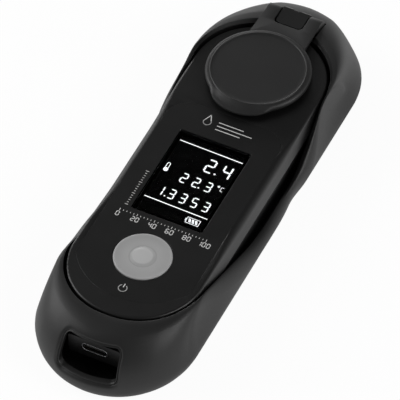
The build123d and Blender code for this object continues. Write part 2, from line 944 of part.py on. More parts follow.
# Prism: a round measuring face, a slab that seats in the optics block, and a tapered foot
with BuildPart() as prism:
    with BuildSketch(Plane.YZ) as prism_side:
        Polygon(
            (dish_centre - prism_half_length, optics_top),
            (dish_centre + prism_half_length, optics_top),
            (dish_centre + prism_half_length, optics_top - prism_slab),
            (dish_centre + prism_shoulder, optics_top - prism_slab),
            (dish_centre + prism_foot_half_length, prism_foot),
            (dish_centre - prism_foot_half_length, prism_foot),
            (dish_centre - prism_shoulder, optics_top - prism_slab),
            (dish_centre - prism_half_length, optics_top - prism_slab),
            align=None,
        )
    extrude(amount=prism_half_width, both=True)
    with BuildSketch(Plane.XY.offset(optics_top)):
        with Locations((0, dish_centre)):
            Circle(dish_window_radius - seal_section - press_gap)
    extrude(amount=prism_top - optics_top)
finish(prism, "prism")

with BuildPart() as prism_seal:
    with BuildSketch(Plane.XY.offset(optics_top)):
        with Locations((0, dish_centre)):
            Circle(dish_window_radius - press_gap)
            Circle(dish_window_radius - seal_section, mode=Mode.SUBTRACT)
    extrude(amount=prism_top - optics_top - slide_gap)
finish(prism_seal, "prism_seal")

# Optics block: a dark box that carries the prism, the light and the sensor
optics_near = dish_centre - optics_half_length
optics_far = dish_centre + optics_half_length
with BuildPart() as optics_block:
    with BuildSketch(Plane.XY.offset(optics_foot)):
        with Locations((0, dish_centre)):
            Rectangle(2 * optics_half_width, 2 * optics_half_length)
    extrude(amount=optics_top - optics_foot)
    with BuildSketch(Plane.XY.offset(optics_foot)):
        with Locations(*optics_screw_places):
            Circle(optics_lug_radius)
        with Locations((0, dish_centre)):
            Rectangle(2 * optics_lug_x, 2 * optics_lug_radius)
    extrude(amount=optics_lug_height)
    with BuildSketch(Plane.XY.offset(optics_foot)):
        with Locations(*optics_screw_places):
            Circle(small_screw_radius + slide_gap)
    extrude(amount=optics_lug_height, mode=Mode.SUBTRACT)
    with BuildSketch(Plane.XY.offset(optics_foot + optics_lug_height)):
        with Locations((0, dish_centre)):
            Rectangle(2 * prism_half_width + 2 * slide_gap, 2 * prism_shoulder + 4 * slide_gap)
    extrude(amount=clear_through, mode=Mode.SUBTRACT)
    with BuildSketch(Plane.XY.offset(optics_top - prism_slab)):
        with Locations((0, dish_centre)):
            Rectangle(
                2 * prism_half_width + 2 * slide_gap, 2 * prism_half_length + 2 * slide_gap
            )
    extrude(amount=clear_through, mode=Mode.SUBTRACT)
    with BuildSketch(Plane.XZ.offset(-dish_centre)):
        with Locations((0, light_height)):
            Circle(lens_radius + slide_gap)
    extrude(amount=-prism_shoulder - 2 * slide_gap - lens_thickness, mode=Mode.SUBTRACT)
    with BuildSketch(Plane.XZ.offset(-dish_centre)):
        with Locations((0, light_height)):
            Circle(light_radius + press_gap)
    extrude(amount=-clear_through, mode=Mode.SUBTRACT)
    with BuildSketch(Plane.XZ.offset(-dish_centre)):
        with Locations((0, light_height)):
            Rectangle(2 * sensor_half_width + 2 * slide_gap, 2 * sensor_half_height + 2 * slide_gap)
    extrude(amount=clear_through, mode=Mode.SUBTRACT)
    with BuildSketch(Plane.XZ.offset(-optics_near - sensor_screw_length)) as sensor_screw_marks:
        with Locations((-sensor_screw_x, sensor_screw_height), (sensor_screw_x, sensor_screw_height)):
            Circle(small_screw_radius + press_gap)
    extrude(amount=clear_through, mode=Mode.SUBTRACT)
    with BuildSketch(Plane.XY.offset(optics_top - probe_height)):
        with Locations((0, probe_centre)):
            Circle(probe_radius + press_gap)
    extrude(amount=clear_through, mode=Mode.SUBTRACT)
finish(optics_block, "optics_block")

lens_near = dish_centre + prism_shoulder + 2 * slide_gap
with BuildPart() as condenser_lens:
    with BuildSketch(Plane.XZ.offset(-lens_near)):
        with Locations((0, light_height)):
            Circle(lens_radius)
    extrude(amount=-lens_thickness + slide_gap)
finish(condenser_lens, "condenser_lens")

with BuildPart() as light_source:
    with BuildSketch(Plane.XZ.offset(-lens_near - lens_thickness - slide_gap)):
        with Locations((0, light_height)):
            Circle(light_radius)
    extrude(amount=-light_length)
    fillet(faces().sort_by(Axis.Y)[0].edges(), light_radius / 2)
    with BuildSketch(Plane.XZ.offset(-optics_far)):
        with Locations((0, light_height)):
            Circle(light_radius + light_flange)
    extrude(amount=-light_flange_thickness)
finish(light_source, "light_source")

with BuildPart() as line_sensor:
    with BuildSketch(Plane.XZ.offset(-optics_near)):
        with Locations((0, light_height)):
            Rectangle(2 * sensor_half_width, 2 * sensor_half_height)
    extrude(amount=-sensor_thickness)
finish(line_sensor, "line_sensor")

with BuildPart() as sensor_board:
    with BuildSketch(Plane.XZ.offset(-optics_near)):
        with Locations((0, optics_foot)):
            Rectangle(
                2 * optics_half_width,
                sensor_board_top - optics_foot,
                align=(Align.CENTER, Align.MIN),
            )
        with Locations((-sensor_screw_x, sensor_screw_height), (sensor_screw_x, sensor_screw_height)):
            Circle(small_screw_radius + slide_gap, mode=Mode.SUBTRACT)
    extrude(amount=sensor_board_thickness)
finish(sensor_board, "sensor_board")

# Screws of the optics block and of the sensor board
with BuildPart() as optics_screws:
    with BuildSketch(Plane.XY.offset(optics_foot + optics_lug_height)):
        with Locations(*optics_screw_places):
            Circle(small_screw_head_radius)
    extrude(amount=small_screw_head)
    with BuildSketch(
        Plane.XY.offset(optics_foot + optics_lug_height - small_screw_length + slide_gap)
    ):
        with Locations(*optics_screw_places):
            Circle(small_screw_radius)
    extrude(amount=small_screw_length - slide_gap)
    with BuildSketch(Plane.XY.offset(optics_foot + optics_lug_height + small_screw_head / 2)):
        with Locations(*optics_screw_places):
            Rectangle(2 * screw_slot_share * small_screw_head_radius, screw_slot)
            Rectangle(screw_slot, 2 * screw_slot_share * small_screw_head_radius)
    extrude(amount=small_screw_head, mode=Mode.SUBTRACT)
finish(optics_screws, "optics_screws")

sensor_board_face = optics_near - sensor_board_thickness
with BuildPart() as sensor_screws:
    with BuildSketch(Plane.XZ.offset(-sensor_board_face)):
        with Locations((-sensor_screw_x, sensor_screw_height), (sensor_screw_x, sensor_screw_height)):
            Circle(small_screw_head_radius)
    extrude(amount=small_screw_head)
    with BuildSketch(Plane.XZ.offset(-sensor_board_face)):
        with Locations((-sensor_screw_x, sensor_screw_height), (sensor_screw_x, sensor_screw_height)):
            Circle(small_screw_radius)
    extrude(amount=-sensor_screw_length - sensor_board_thickness + slide_gap)
finish(sensor_screws, "sensor_screws")

# Ribbon from the sensor board down to the main board
with BuildPart() as sensor_ribbon:
    with BuildSketch(Plane.YZ):
        with BuildLine():
            FilletPolyline(
                (sensor_board_face - ribbon_thickness / 2, light_height),
                (sensor_board_face - ribbon_thickness / 2, board_top + ribbon_thickness / 2),
                (board_far - ribbon_reach, board_top + ribbon_thickness / 2),
                radius=ribbon_bend,
            )
        trace(line_width=ribbon_thickness)
    extrude(amount=ribbon_half_width, both=True)
finish(sensor_ribbon, "sensor_ribbon")

# Temperature probe, pressed up against the underside of the dish
with BuildPart() as temperature_probe:
    with BuildSketch(Plane.XY.offset(optics_top - probe_height)):
        with Locations((0, probe_centre)):
            Circle(probe_radius)
    extrude(amount=probe_height)
finish(temperature_probe, "temperature_probe")

# Hinge block: a plate in the shell's recess with a knuckle that takes the pin
with BuildPart() as hinge_block:
    with BuildSketch(Plane.XY.offset(hinge_pocket_floor)):
        with Locations((0, hinge_centre)):
            Rectangle(
                2 * (hinge_pocket_half_width - slide_gap),
                hinge_pocket_back - hinge_pocket_front - 2 * slide_gap,
            )
    extrude(amount=hinge_plate)
    with BuildSketch(Plane.YZ):
        with BuildLine():
            Polyline(
                (hinge_pocket_front + slide_gap, hinge_pocket_floor),
                (hinge_pocket_back - slide_gap, hinge_pocket_floor),
                (hinge_pocket_back - slide_gap, knuckle_top - ear_radius / 2),
                (hinge_pocket_back - ear_radius / 2, knuckle_top),
                (knuckle_front, knuckle_top),
                (knuckle_front, rim_height_far + slide_gap),
                (hinge_pocket_front + slide_gap, rim_height_far + slide_gap),
                (hinge_pocket_front + slide_gap, hinge_pocket_floor),
            )
        make_face()
    extrude(amount=knuckle_half_width, both=True)
    with BuildSketch(Plane.YZ):
        with Locations((hinge_centre, hinge_height)):
            Circle(pin_radius + press_gap)
    extrude(amount=ear_half_spread, both=True, mode=Mode.SUBTRACT)
    with BuildSketch(Plane.XY.offset(knuckle_top)):
        with Locations((0, hinge_pocket_back)):
            Circle(knuckle_notch_radius)
    extrude(amount=-knuckle_notch_radius, mode=Mode.SUBTRACT)
    with BuildSketch(Plane.XY.offset(hinge_pocket_floor)):
        with Locations(*hinge_screw_places):
            Circle(small_screw_radius + press_gap)
    extrude(amount=hinge_screw_reach + slide_gap, mode=Mode.SUBTRACT)
finish(hinge_block, "hinge_block")

with BuildPart() as hinge_screws:
    with BuildSketch(Plane.XY.offset(hinge_pad_underside)):
        with Locations(*hinge_screw_places):
            Circle(small_screw_head_radius)
    extrude(amount=-small_screw_head)
    with BuildSketch(Plane.XY.offset(hinge_pad_underside)):
        with Locations(*hinge_screw_places):
            Circle(small_screw_radius)
    extrude(amount=hinge_pocket_floor - hinge_pad_underside + hinge_screw_reach)
finish(hinge_screws, "hinge_screws")

with BuildPart() as hinge_pin:
    with BuildSketch(Plane.YZ):
        with Locations((hinge_centre, hinge_height)):
            Circle(pin_radius)
    extrude(amount=pin_half_length, both=True)
    chamfer(edges().filter_by(GeomType.CIRCLE), pin_radius / 5)
finish(hinge_pin, "hinge_pin")

# Neck and ears of the lid: a side view cut to a plan with the slot for the knuckle
with BuildPart() as lid_neck:
    with BuildSketch(Plane.YZ):
        Polygon(
            (neck_start, lid_underside),
            (hinge_centre, lid_underside),
            (hinge_centre, hinge_height + ear_radius),
            (neck_slot_start, neck_top),
            (neck_start, lid_top - lid_ring_proud),
            align=None,
        )
        with Locations((hinge_centre, hinge_height)):
            Circle(ear_radius)
            Rectangle(ear_radius, ear_radius, align=(Align.MAX, Align.MIN))
    extrude(amount=half_width, both=True)
    with BuildSketch(Plane.XY.offset(hinge_height - ear_radius)):
        Polygon(
            (-rim_notch_half_width + slide_gap, neck_start),
            (rim_notch_half_width - slide_gap, neck_start),
            (ear_half_spread, hinge_pocket_front),
            (ear_half_spread, clear_through + hinge_centre),
            (-ear_half_spread, clear_through + hinge_centre),
            (-ear_half_spread, hinge_pocket_front),
            align=None,
        )
        with Locations((0, neck_slot_start)):
            Rectangle(
                2 * ear_slot_half_width,
                2 * clear_through,
                align=(Align.CENTER, Align.MIN),
                mode=Mode.SUBTRACT,
            )
    extrude(amount=clear_through, mode=Mode.INTERSECT)

# Sample lid: a round flap with a fine ring, a thumb tab, and two ears on the pin
with BuildPart() as lid_cap:
    with BuildSketch(Plane.XZ.offset(-dish_centre)):
        with BuildLine():
            Polyline(
                (0, lid_underside),
                (lid_radius, lid_underside),
                (lid_radius, lid_underside + lid_edge_thickness),
            )
            ThreePointArc(
                (lid_radius, lid_underside + lid_edge_thickness),
                (lid_radius - lid_shoulder_lean, lid_top - lid_shoulder_drop),
                (lid_ring_radius + lid_ring_half_width, lid_top),
            )
            Polyline(
                (lid_ring_radius + lid_ring_half_width, lid_top),
                (lid_ring_radius, lid_top + lid_ring_proud),
                (lid_ring_radius - lid_ring_half_width, lid_top),
                (0, lid_top),
                (0, lid_underside),
            )
        make_face()
    revolve(axis=upright(dish_centre))

    # Thumb tab on the side that is lifted
    with BuildSketch(Plane.XY.offset(lid_underside)):
        with Locations((0, dish_centre - tab_reach + tab_length)):
            Ellipse(tab_half_width, tab_length)
        with Locations((0, dish_centre)):
            Circle(lid_radius - lid_edge_thickness, mode=Mode.SUBTRACT)
    extrude(amount=tab_thickness)

    # Neck and ears
    add(lid_neck.part)
    with BuildSketch(Plane.YZ):
        with Locations((hinge_centre, hinge_height)):
            Circle(pin_radius + pin_gap)
    extrude(amount=pin_half_length + slide_gap, both=True, mode=Mode.SUBTRACT)

    # Groove of the seal
    with BuildSketch(Plane.XY.offset(lid_underside)):
        with Locations((0, dish_centre)):
            Circle(seal_outer_radius + press_gap)
            Circle(seal_inner_radius - press_gap, mode=Mode.SUBTRACT)
    extrude(amount=seal_groove, mode=Mode.SUBTRACT)
finish(lid_cap, "lid_cap")

with BuildPart() as lid_seal:
    with BuildSketch(Plane.XY.offset(dish_top + seal_gap)):
        with Locations((0, dish_centre)):
            Circle(seal_outer_radius)
            Circle(seal_inner_radius, mode=Mode.SUBTRACT)
    extrude(amount=lid_underside + seal_groove - dish_top - seal_gap)
finish(lid_seal, "lid_seal")
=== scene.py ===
# %% [markdown]
# # A handheld digital refractometer
#
# The instrument lies on its back: +Z is up out of the face, +Y points to the end with the sample lid and
# -Y to the end with the charging socket. The construction comes in as a fixed frame of named nodes, each
# at its real place and size. This scene gives every surface its form and finish.

# %% Load the frame
import json
import math

import bmesh
import bpy
import numpy as np
from mathutils import Matrix, Vector


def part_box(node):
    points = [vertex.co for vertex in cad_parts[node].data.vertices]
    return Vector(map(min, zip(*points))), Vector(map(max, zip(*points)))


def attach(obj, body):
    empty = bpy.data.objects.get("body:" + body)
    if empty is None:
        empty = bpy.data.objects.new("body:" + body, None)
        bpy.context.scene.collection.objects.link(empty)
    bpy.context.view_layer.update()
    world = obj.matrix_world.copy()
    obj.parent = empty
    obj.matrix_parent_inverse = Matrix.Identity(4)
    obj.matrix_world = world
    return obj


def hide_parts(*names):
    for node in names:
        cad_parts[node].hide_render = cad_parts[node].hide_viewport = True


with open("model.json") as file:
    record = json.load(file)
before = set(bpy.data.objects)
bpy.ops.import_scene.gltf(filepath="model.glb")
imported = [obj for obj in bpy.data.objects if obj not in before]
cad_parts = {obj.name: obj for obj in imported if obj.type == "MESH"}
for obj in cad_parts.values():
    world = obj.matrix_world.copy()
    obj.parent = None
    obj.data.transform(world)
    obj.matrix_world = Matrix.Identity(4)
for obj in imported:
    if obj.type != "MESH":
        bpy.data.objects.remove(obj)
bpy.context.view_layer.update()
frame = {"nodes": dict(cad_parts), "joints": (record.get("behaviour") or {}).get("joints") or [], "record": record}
nodes = frame["nodes"]
mm = 0.001

# %% [markdown]
# ## The camera
#
# The view is from high above the socket's end, a little to the right, through a long lens, so that the
# round ends look nearly as they would in a drawing. A camera that far off could be framed with a shift,
# but a shift stays when the camera moves to another side, so it is stepped sideways by a few millimetres.

# %% Camera
view_azimuth = math.radians(25.81)
view_elevation = math.radians(49.43)
view_distance = 1.8474
view_lens = 523.0
aim_point = Vector((0, 0.0012, 0))
step_right = -0.0009
step_up = 0.0030

camera_data = bpy.data.cameras.new("camera")
camera_data.lens = view_lens
camera_data.sensor_width = 36
camera = bpy.data.objects.new("camera", camera_data)
bpy.context.scene.collection.objects.link(camera)
bpy.context.scene.camera = camera

view_back = Vector((
    math.sin(view_azimuth) * math.cos(view_elevation),
    -math.cos(view_azimuth) * math.cos(view_elevation),
    math.sin(view_elevation),
))
view_right = Vector((math.cos(view_azimuth), math.sin(view_azimuth), 0))
view_up = view_back.cross(view_right)
camera.rotation_mode = "QUATERNION"
camera.rotation_quaternion = (-view_back).to_track_quat("-Z", "Y")
camera.location = aim_point + view_back * view_distance + view_right * step_right + view_up * step_up
camera_data.clip_start = 0.05
print("camera stands at", [round(v, 3) for v in camera.location])

# %% [markdown]
# ## Shader maths in plain expressions
#
# A finish is a small formula over the surface: noise times an amount, a mask between two colours. Wiring
# each Math node by hand hides the formula, so a socket is wrapped in a class whose operators add the
# nodes. Any other node comes from one method, which takes the node's settings first and its inputs next.


# %% The shader class
class Value:
    """A socket's value in a material, with the usual operators."""

    def __init__(self, finish, socket):
        self.finish = finish
        self.socket = socket

    def join(self, operation, *others):
        """One Math node with this value first."""
        return self.finish.node(
            "ShaderNodeMath", {"operation": operation}, {n: v for n, v in enumerate((self, *others))}
        )

    def __add__(self, other):
        return self.join("ADD", other)

    def __radd__(self, other):
        return self.join("ADD", other)

    def __sub__(self, other):
        return self.join("SUBTRACT", other)

    def __rsub__(self, other):
        return self.finish.node("ShaderNodeMath", {"operation": "SUBTRACT"}, {0: other, 1: self})

    def __mul__(self, other):
        return self.join("MULTIPLY", other)

    def __rmul__(self, other):
        return self.join("MULTIPLY", other)


class Finish:
    """A node material that is written as expressions."""

    def __init__(self, name):
        self.material = bpy.data.materials.new(name)
        self.material.use_nodes = True
        self.tree = self.material.node_tree
        self.tree.nodes.clear()
        self.output = self.tree.nodes.new("ShaderNodeOutputMaterial")
        self.place = self.node("ShaderNodeTexCoord", {}, {}, "Object")

    def node(self, kind, settings, inputs, output=0):
        """Any node: settings are set first, then each input gets a link or a plain value."""
        made = self.tree.nodes.new(kind)
        for key, setting in settings.items():
            setattr(made, key, setting)
        for key, value in inputs.items():
            if isinstance(value, Value):
                self.tree.links.new(value.socket, made.inputs[key])
            else:
                made.inputs[key].default_value = value
        return Value(self, made.outputs[output])

    def noise(self, scale, detail=4.0, roughness=0.55, place=None):
        """Soft noise of about zero to one; scale is in features per metre."""
        inputs = {"Scale": scale, "Detail": detail, "Roughness": roughness, "Vector": place or self.place}
        return self.node("ShaderNodeTexNoise", {}, inputs, "Fac")

    def stretch(self, factors):
        """The surface's own place, stretched along the axes, for grain and brushed marks."""
        return self.node("ShaderNodeMapping", {}, {"Vector": self.place, "Scale": factors})

    def step(self, value, low, high, to_low=0.0, to_high=1.0):
        """A smooth step of value from low to high."""
        settings = {"interpolation_type": "SMOOTHSTEP"}
        inputs = {"Value": value, "From Min": low, "From Max": high, "To Min": to_low, "To Max": to_high}
        return self.node("ShaderNodeMapRange", settings, inputs)

    def mix(self, factor, first, second):
        """A colour between two colours."""
        settings = {"data_type": "RGBA"}
        return self.node("ShaderNodeMix", settings, {0: factor, 6: first, 7: second}, 2)

    def bump(self, height, strength, distance):
        """A normal that makes a height stand out; distance is in metres."""
        inputs = {"Height": height, "Strength": strength, "Distance": distance}
        return self.node("ShaderNodeBump", {}, inputs, "Normal")

    def from_axis(self, y):
        """How far the surface is from an upright axis on the middle plane, at a place along the body."""
        moved = self.node("ShaderNodeVectorMath", {"operation": "SUBTRACT"}, {0: self.place, 1: (0, y, 0)})
        flat = self.node("ShaderNodeVectorMath", {"operation": "MULTIPLY"}, {0: moved, 1: (1, 1, 0)})
        return self.node("ShaderNodeVectorMath", {"operation": "LENGTH"}, {0: flat}, "Value")

    def surface(self, **sockets):
        """The surface shader; an underscore in a name stands for a space."""
        inputs = {key.replace("_", " "): value for key, value in sockets.items()}
        shader = self.node("ShaderNodeBsdfPrincipled", {}, inputs, "BSDF")
        self.tree.links.new(shader.socket, self.output.inputs["Surface"])
        return self.material


def grey(level):
    """A neutral colour."""
    return (level, level, level, 1.0)


def shade(colour, share):
    """A colour at a share of its brightness."""
    return tuple(part * share for part in colour[:3]) + (1,)


# %% [markdown]
# ## Black plastics
#
# Nearly everything here is black, so the finishes differ in grain and gloss, not in colour. The shell is
# a soft-touch skin with a very fine leathery grain. The casing has the even satin of a spark-eroded mould.
# The overlay is a printed film. Each has a little unevenness in its gloss, which is what keeps a black
# surface from looking like paint on a screen.


# %% Black finishes
def soft_black(name, level, gloss, grain, grain_depth):
    """A moulded black with fine grain: level is its colour, gloss its roughness."""
    finish = Finish(name)
    cloud = finish.noise(70.0, 3.0)
    fine = finish.noise(grain, 3.0, 0.6)
    speck = finish.step(finish.noise(2600.0, 2.0), 0.60, 0.72)
    colour = finish.mix(cloud, grey(level * 0.8), grey(level * 1.25))
    colour = finish.mix(speck * 0.35, colour, grey(level * 1.9))
    rough = gloss + (cloud - 0.5) * 0.10 + (fine - 0.5) * 0.08
    return finish.surface(
        Base_Color=colour,
        Roughness=rough,
        Normal=finish.bump(fine, 0.45, grain_depth),
    )


shell_skin = soft_black("shell_skin", 0.0085, 0.48, 2400.0, 0.00004)
casing_satin = soft_black("casing_satin", 0.0042, 0.38, 4200.0, 0.00002)
overlay_film = soft_black("overlay_film", 0.0040, 0.37, 6500.0, 0.00001)
lid_satin = soft_black("lid_satin", 0.0095, 0.5, 4200.0, 0.00003)
seal_black = soft_black("seal_black", 0.012, 0.6, 3000.0, 0.00003)
foam_black = soft_black("foam_black", 0.05, 0.9, 5200.0, 0.0002)
moulded_black = soft_black("moulded_black", 0.02, 0.3, 5000.0, 0.00002)


# %% [markdown]
# ## Metals, glass and the small pieces inside
#
# Turned steel shows fine rings round its axis, drawn or stamped steel shows straight marks, and both are
# the same noise stretched a different way. Glass is left clear. A display's window is coated so that it
# mirrors next to nothing, and a refractive index near that of air does the same. The circuit boards, the
# foil battery and the amber film inside only show when the instrument is taken apart, but they get their
# own finishes too.


# %% Metals
def brushed_metal(name, colour, stretch, rough=0.3):
    """Bright metal with fine marks along the axis that is stretched least."""
    finish = Finish(name)
    marks = finish.noise(900.0, 4.0, 0.6, finish.stretch(stretch))
    smudge = finish.noise(260.0, 3.0)
    tone = finish.mix(marks, shade(colour, 0.86), colour)
    return finish.surface(
        Base_Color=tone,
        Metallic=1.0,
        Roughness=rough + (marks - 0.5) * 0.14 + (smudge - 0.5) * 0.08,
        Normal=finish.bump(marks, 0.25, 0.00002),
    )


def turned_metal(name, colour, axis_y, rough=0.24):
    """Bright metal with fine rings round an upright axis."""
    finish = Finish(name)
    ring_place = finish.node("ShaderNodeCombineXYZ", {}, {"X": finish.from_axis(axis_y)})
    rings = finish.noise(5200.0, 3.0, 0.6, ring_place)
    tone = finish.mix(rings, shade(colour, 0.88), colour)
    return finish.surface(
        Base_Color=tone,
        Metallic=1.0,
        Roughness=rough + (rings - 0.5) * 0.16,
        Normal=finish.bump(rings, 0.3, 0.00001),
    )


dish_low, dish_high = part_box("sample_dish")
dish_y = (dish_low.y + dish_high.y) / 2
dish_steel = turned_metal("dish_steel", (0.62, 0.62, 0.63, 1), dish_y)
socket_steel = brushed_metal("socket_steel", (0.68, 0.68, 0.70, 1), (6, 1, 6), 0.22)
screw_steel = brushed_metal("screw_steel", (0.42, 0.43, 0.45, 1), (1, 4, 1), 0.34)
pin_steel = brushed_metal("pin_steel", (0.6, 0.6, 0.62, 1), (1, 8, 8), 0.2)
probe_brass = brushed_metal("probe_brass", (0.72, 0.53, 0.24, 1), (4, 4, 1), 0.3)
contact_gold = brushed_metal("contact_gold", (0.85, 0.62, 0.28, 1), (6, 1, 6), 0.25)
battery_foil = brushed_metal("battery_foil", (0.66, 0.67, 0.69, 1), (1, 3, 1), 0.42)


# %% Clear and coloured finishes
def clear_glass(name, tint, rough, index):
    """Polished glass with a refractive index."""
    finish = Finish(name)
    smear = finish.noise(160.0, 3.0)
    return finish.surface(
        Base_Color=finish.mix(smear, tint, shade(tint, 0.97)),
        Roughness=rough + finish.step(smear, 0.55, 0.8, 0.0, 0.03),
        Transmission_Weight=1.0,
        IOR=index,
    )


def moulded_colour(name, colour, rough, grain=3000.0):
    """A moulded or coated surface of one colour, with a faint cloud in it."""
    finish = Finish(name)
    cloud = finish.noise(240.0, 3.0)
    fine = finish.noise(grain, 3.0)
    return finish.surface(
        Base_Color=finish.mix(cloud, shade(colour, 0.85), colour),
        Roughness=rough + (fine - 0.5) * 0.12,
        Normal=finish.bump(fine, 0.3, 0.00002),
    )


coated_index = 1.08
window_glass = clear_glass("window_glass", (0.96, 0.97, 0.98, 1), 0.02, coated_index)
optical_glass = clear_glass("optical_glass", (0.97, 0.99, 0.98, 1), 0.01, 1.52)
white_moulding = moulded_colour("white_moulding", (0.72, 0.72, 0.70, 1), 0.45)
board_green = moulded_colour("board_green", (0.015, 0.14, 0.06, 1), 0.3, 1500.0)
lead_red = moulded_colour("lead_red", (0.42, 0.03, 0.02, 1), 0.45)
amber_resin = moulded_colour("amber_resin", (0.8, 0.62, 0.3, 1), 0.12)
amber_film = moulded_colour("amber_film", (0.62, 0.30, 0.06, 1), 0.25)
screen = Finish("screen_black")
screen_cloud = screen.noise(300.0, 2.0)
screen_black = screen.surface(
    Base_Color=screen.mix(screen_cloud, (0.0003, 0.0003, 0.0004, 1), (0.0009, 0.0009, 0.001, 1)),
    Roughness=0.35 + screen_cloud * 0.1,
    Specular_IOR_Level=0.03,
)
print("made", len(bpy.data.materials), "finishes")

# %% [markdown]
# ## Meshes from rings
#
# Most of what is seen here is a family of closed outlines, one above the other: the shell, the lid, its
# seal, the button. So the main helper skins a list of rings with the same number of points, and closes its
# two ends. Normals are made consistent once the skin is closed.


# %% Mesh helpers
def new_piece(name, points, faces, finish, smooth_angle=32.0):
    """A mesh piece with its faces outwards and its edges sharp above an angle."""
    mesh = bpy.data.meshes.new(name)
    mesh.from_pydata([tuple(p) for p in points], [], faces)
    work = bmesh.new()
    work.from_mesh(mesh)
    bmesh.ops.remove_doubles(work, verts=work.verts, dist=1e-7)
    bmesh.ops.recalc_face_normals(work, faces=work.faces)
    work.to_mesh(mesh)
    work.free()
    piece = bpy.data.objects.new(name, mesh)
    bpy.context.scene.collection.objects.link(piece)
    piece.data.materials.append(finish)
    smooth_by_angle(piece, smooth_angle)
    return piece


def smooth_by_angle(piece, angle):
    """Shades the piece smooth, with edges sharper than the angle kept crisp."""
    piece.data.polygons.foreach_set("use_smooth", [True] * len(piece.data.polygons))
    piece.data.set_sharp_from_angle(angle=math.radians(angle))


def skin(rings, capped=True):
    """Points and faces of a skin over rings that have equally many points."""
    count = len(rings[0])
    points = [point for ring in rings for point in ring]
    faces = []
    for level in range(len(rings) - 1):
        low, high = level * count, (level + 1) * count
        for i in range(count):
            j = (i + 1) % count
            faces.append((low + i, low + j, high + j, high + i))
    if capped:
        faces.append(tuple(range(count)))
        faces.append(tuple(range(len(points) - count, len(points))))
    return points, faces


def even_shading(piece):
    """Lets the large faces set the shading, so that they stay flat beside small roundings."""
    weigh = piece.modifiers.new("even_shading", "WEIGHTED_NORMAL")
    weigh.keep_sharp = True
    apply_modifiers(piece)


def apply_modifiers(piece):
    """Turns the evaluated piece into its plain mesh."""
    bpy.context.view_layer.update()
    evaluated = piece.evaluated_get(bpy.context.evaluated_depsgraph_get())
    mesh = bpy.data.meshes.new_from_object(evaluated)
    piece.modifiers.clear()
    piece.data = mesh


def combine(piece, other, operation):
    """Cuts or joins another closed mesh, which is then removed."""
    cut = piece.modifiers.new("combine", "BOOLEAN")
    cut.operation = operation
    cut.solver = "EXACT"
    cut.object = other
    apply_modifiers(piece)
    bpy.data.objects.remove(other)


def soften(piece, width, angle=35.0, segments=2):
    """Rounds every edge that is sharper than the angle."""
    bevel = piece.modifiers.new("soften", "BEVEL")
    bevel.width = width
    bevel.segments = segments
    bevel.limit_method = "ANGLE"
    bevel.angle_limit = math.radians(angle)
    bevel.use_clamp_overlap = True
    bevel.harden_normals = False
    apply_modifiers(piece)
    smooth_by_angle(piece, 40.0)


def box_mesh(name, low, high):
    """A plain closed box for cutting with."""
    (x0, y0, z0), (x1, y1, z1) = low, high
    rings = [[(x0, y0, z), (x1, y0, z), (x1, y1, z), (x0, y1, z)] for z in (z0, z1)]
    return new_piece(name, *skin(rings), shell_skin)


def full_turn(steps):
    """Angles all the way round, in even steps."""
    return [2 * math.pi * k / steps for k in range(steps)]


def turned(name, profile, centre, finish, steps, capped=True):
    """A piece turned round an upright axis; the profile is a list of (radius, height)."""
    turns = full_turn(steps)
    rings = [
        [(centre[0] + r * math.cos(t), centre[1] + r * math.sin(t), z) for t in turns] for r, z in profile
    ]
    return new_piece(name, *skin(rings, capped), finish)


def rounded(corner_from, corner, corner_to, steps=5):
    """Points of a smooth corner from one point to another, past the sharp corner between them."""
    a, c, b = (np.array(p, float) for p in (corner_from, corner, corner_to))
    return [
        tuple(c + (a - c) * (1 - math.sin(t)) + (b - c) * (1 - math.cos(t)))
        for t in np.linspace(0, math.pi / 2, steps)
    ]


def merged_copy(node, finish):
    """A copy of a node's mesh with its points merged and its flat faces joined."""
    piece = bpy.data.objects.new("fine_" + node, nodes[node].data.copy())
    bpy.context.scene.collection.objects.link(piece)
    work = bmesh.new()
    work.from_mesh(piece.data)
    bmesh.ops.remove_doubles(work, verts=work.verts, dist=2e-7)
    bmesh.ops.dissolve_limit(work, angle_limit=math.radians(0.5), verts=work.verts, edges=work.edges)
    work.to_mesh(piece.data)
    work.free()
    piece.data.materials.clear()
    piece.data.materials.append(finish)
    return piece


def dress(node, finish, bevel=0.0):
    """A merged copy of a node that stands for it, with crisp or softly rounded edges."""
    piece = merged_copy(node, finish)
    smooth_by_angle(piece, 30.0)
    if bevel:
        soften(piece, bevel)
    even_shading(piece)
    settle(piece, node)


node_body = {node: body for body, group in frame["record"]["behaviour"]["bodies"].items() for node in group}


def settle(piece, node):
    """Lets the piece stand for a node: it rides on the node's body, and the node itself is hidden."""
    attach(piece, node_body[node])
    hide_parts(node)


def add_on(piece, node):
    """Lets a small extra piece ride with a node."""
    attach(piece, node_body[node])


# %% [markdown]
# ## The outer shell
#
# On the real instrument the shell is one thick soft moulding. Its outline at any height is a slot with
# round ends, narrower towards the top, and its rim dips to a scooped waist between the two domes. A loft
# could be cut by the rim's curve, but the cut would leave ragged faces where the light catches most. So
# the rings climb to the rim by themselves: each station of the outline knows how high its own rim is.

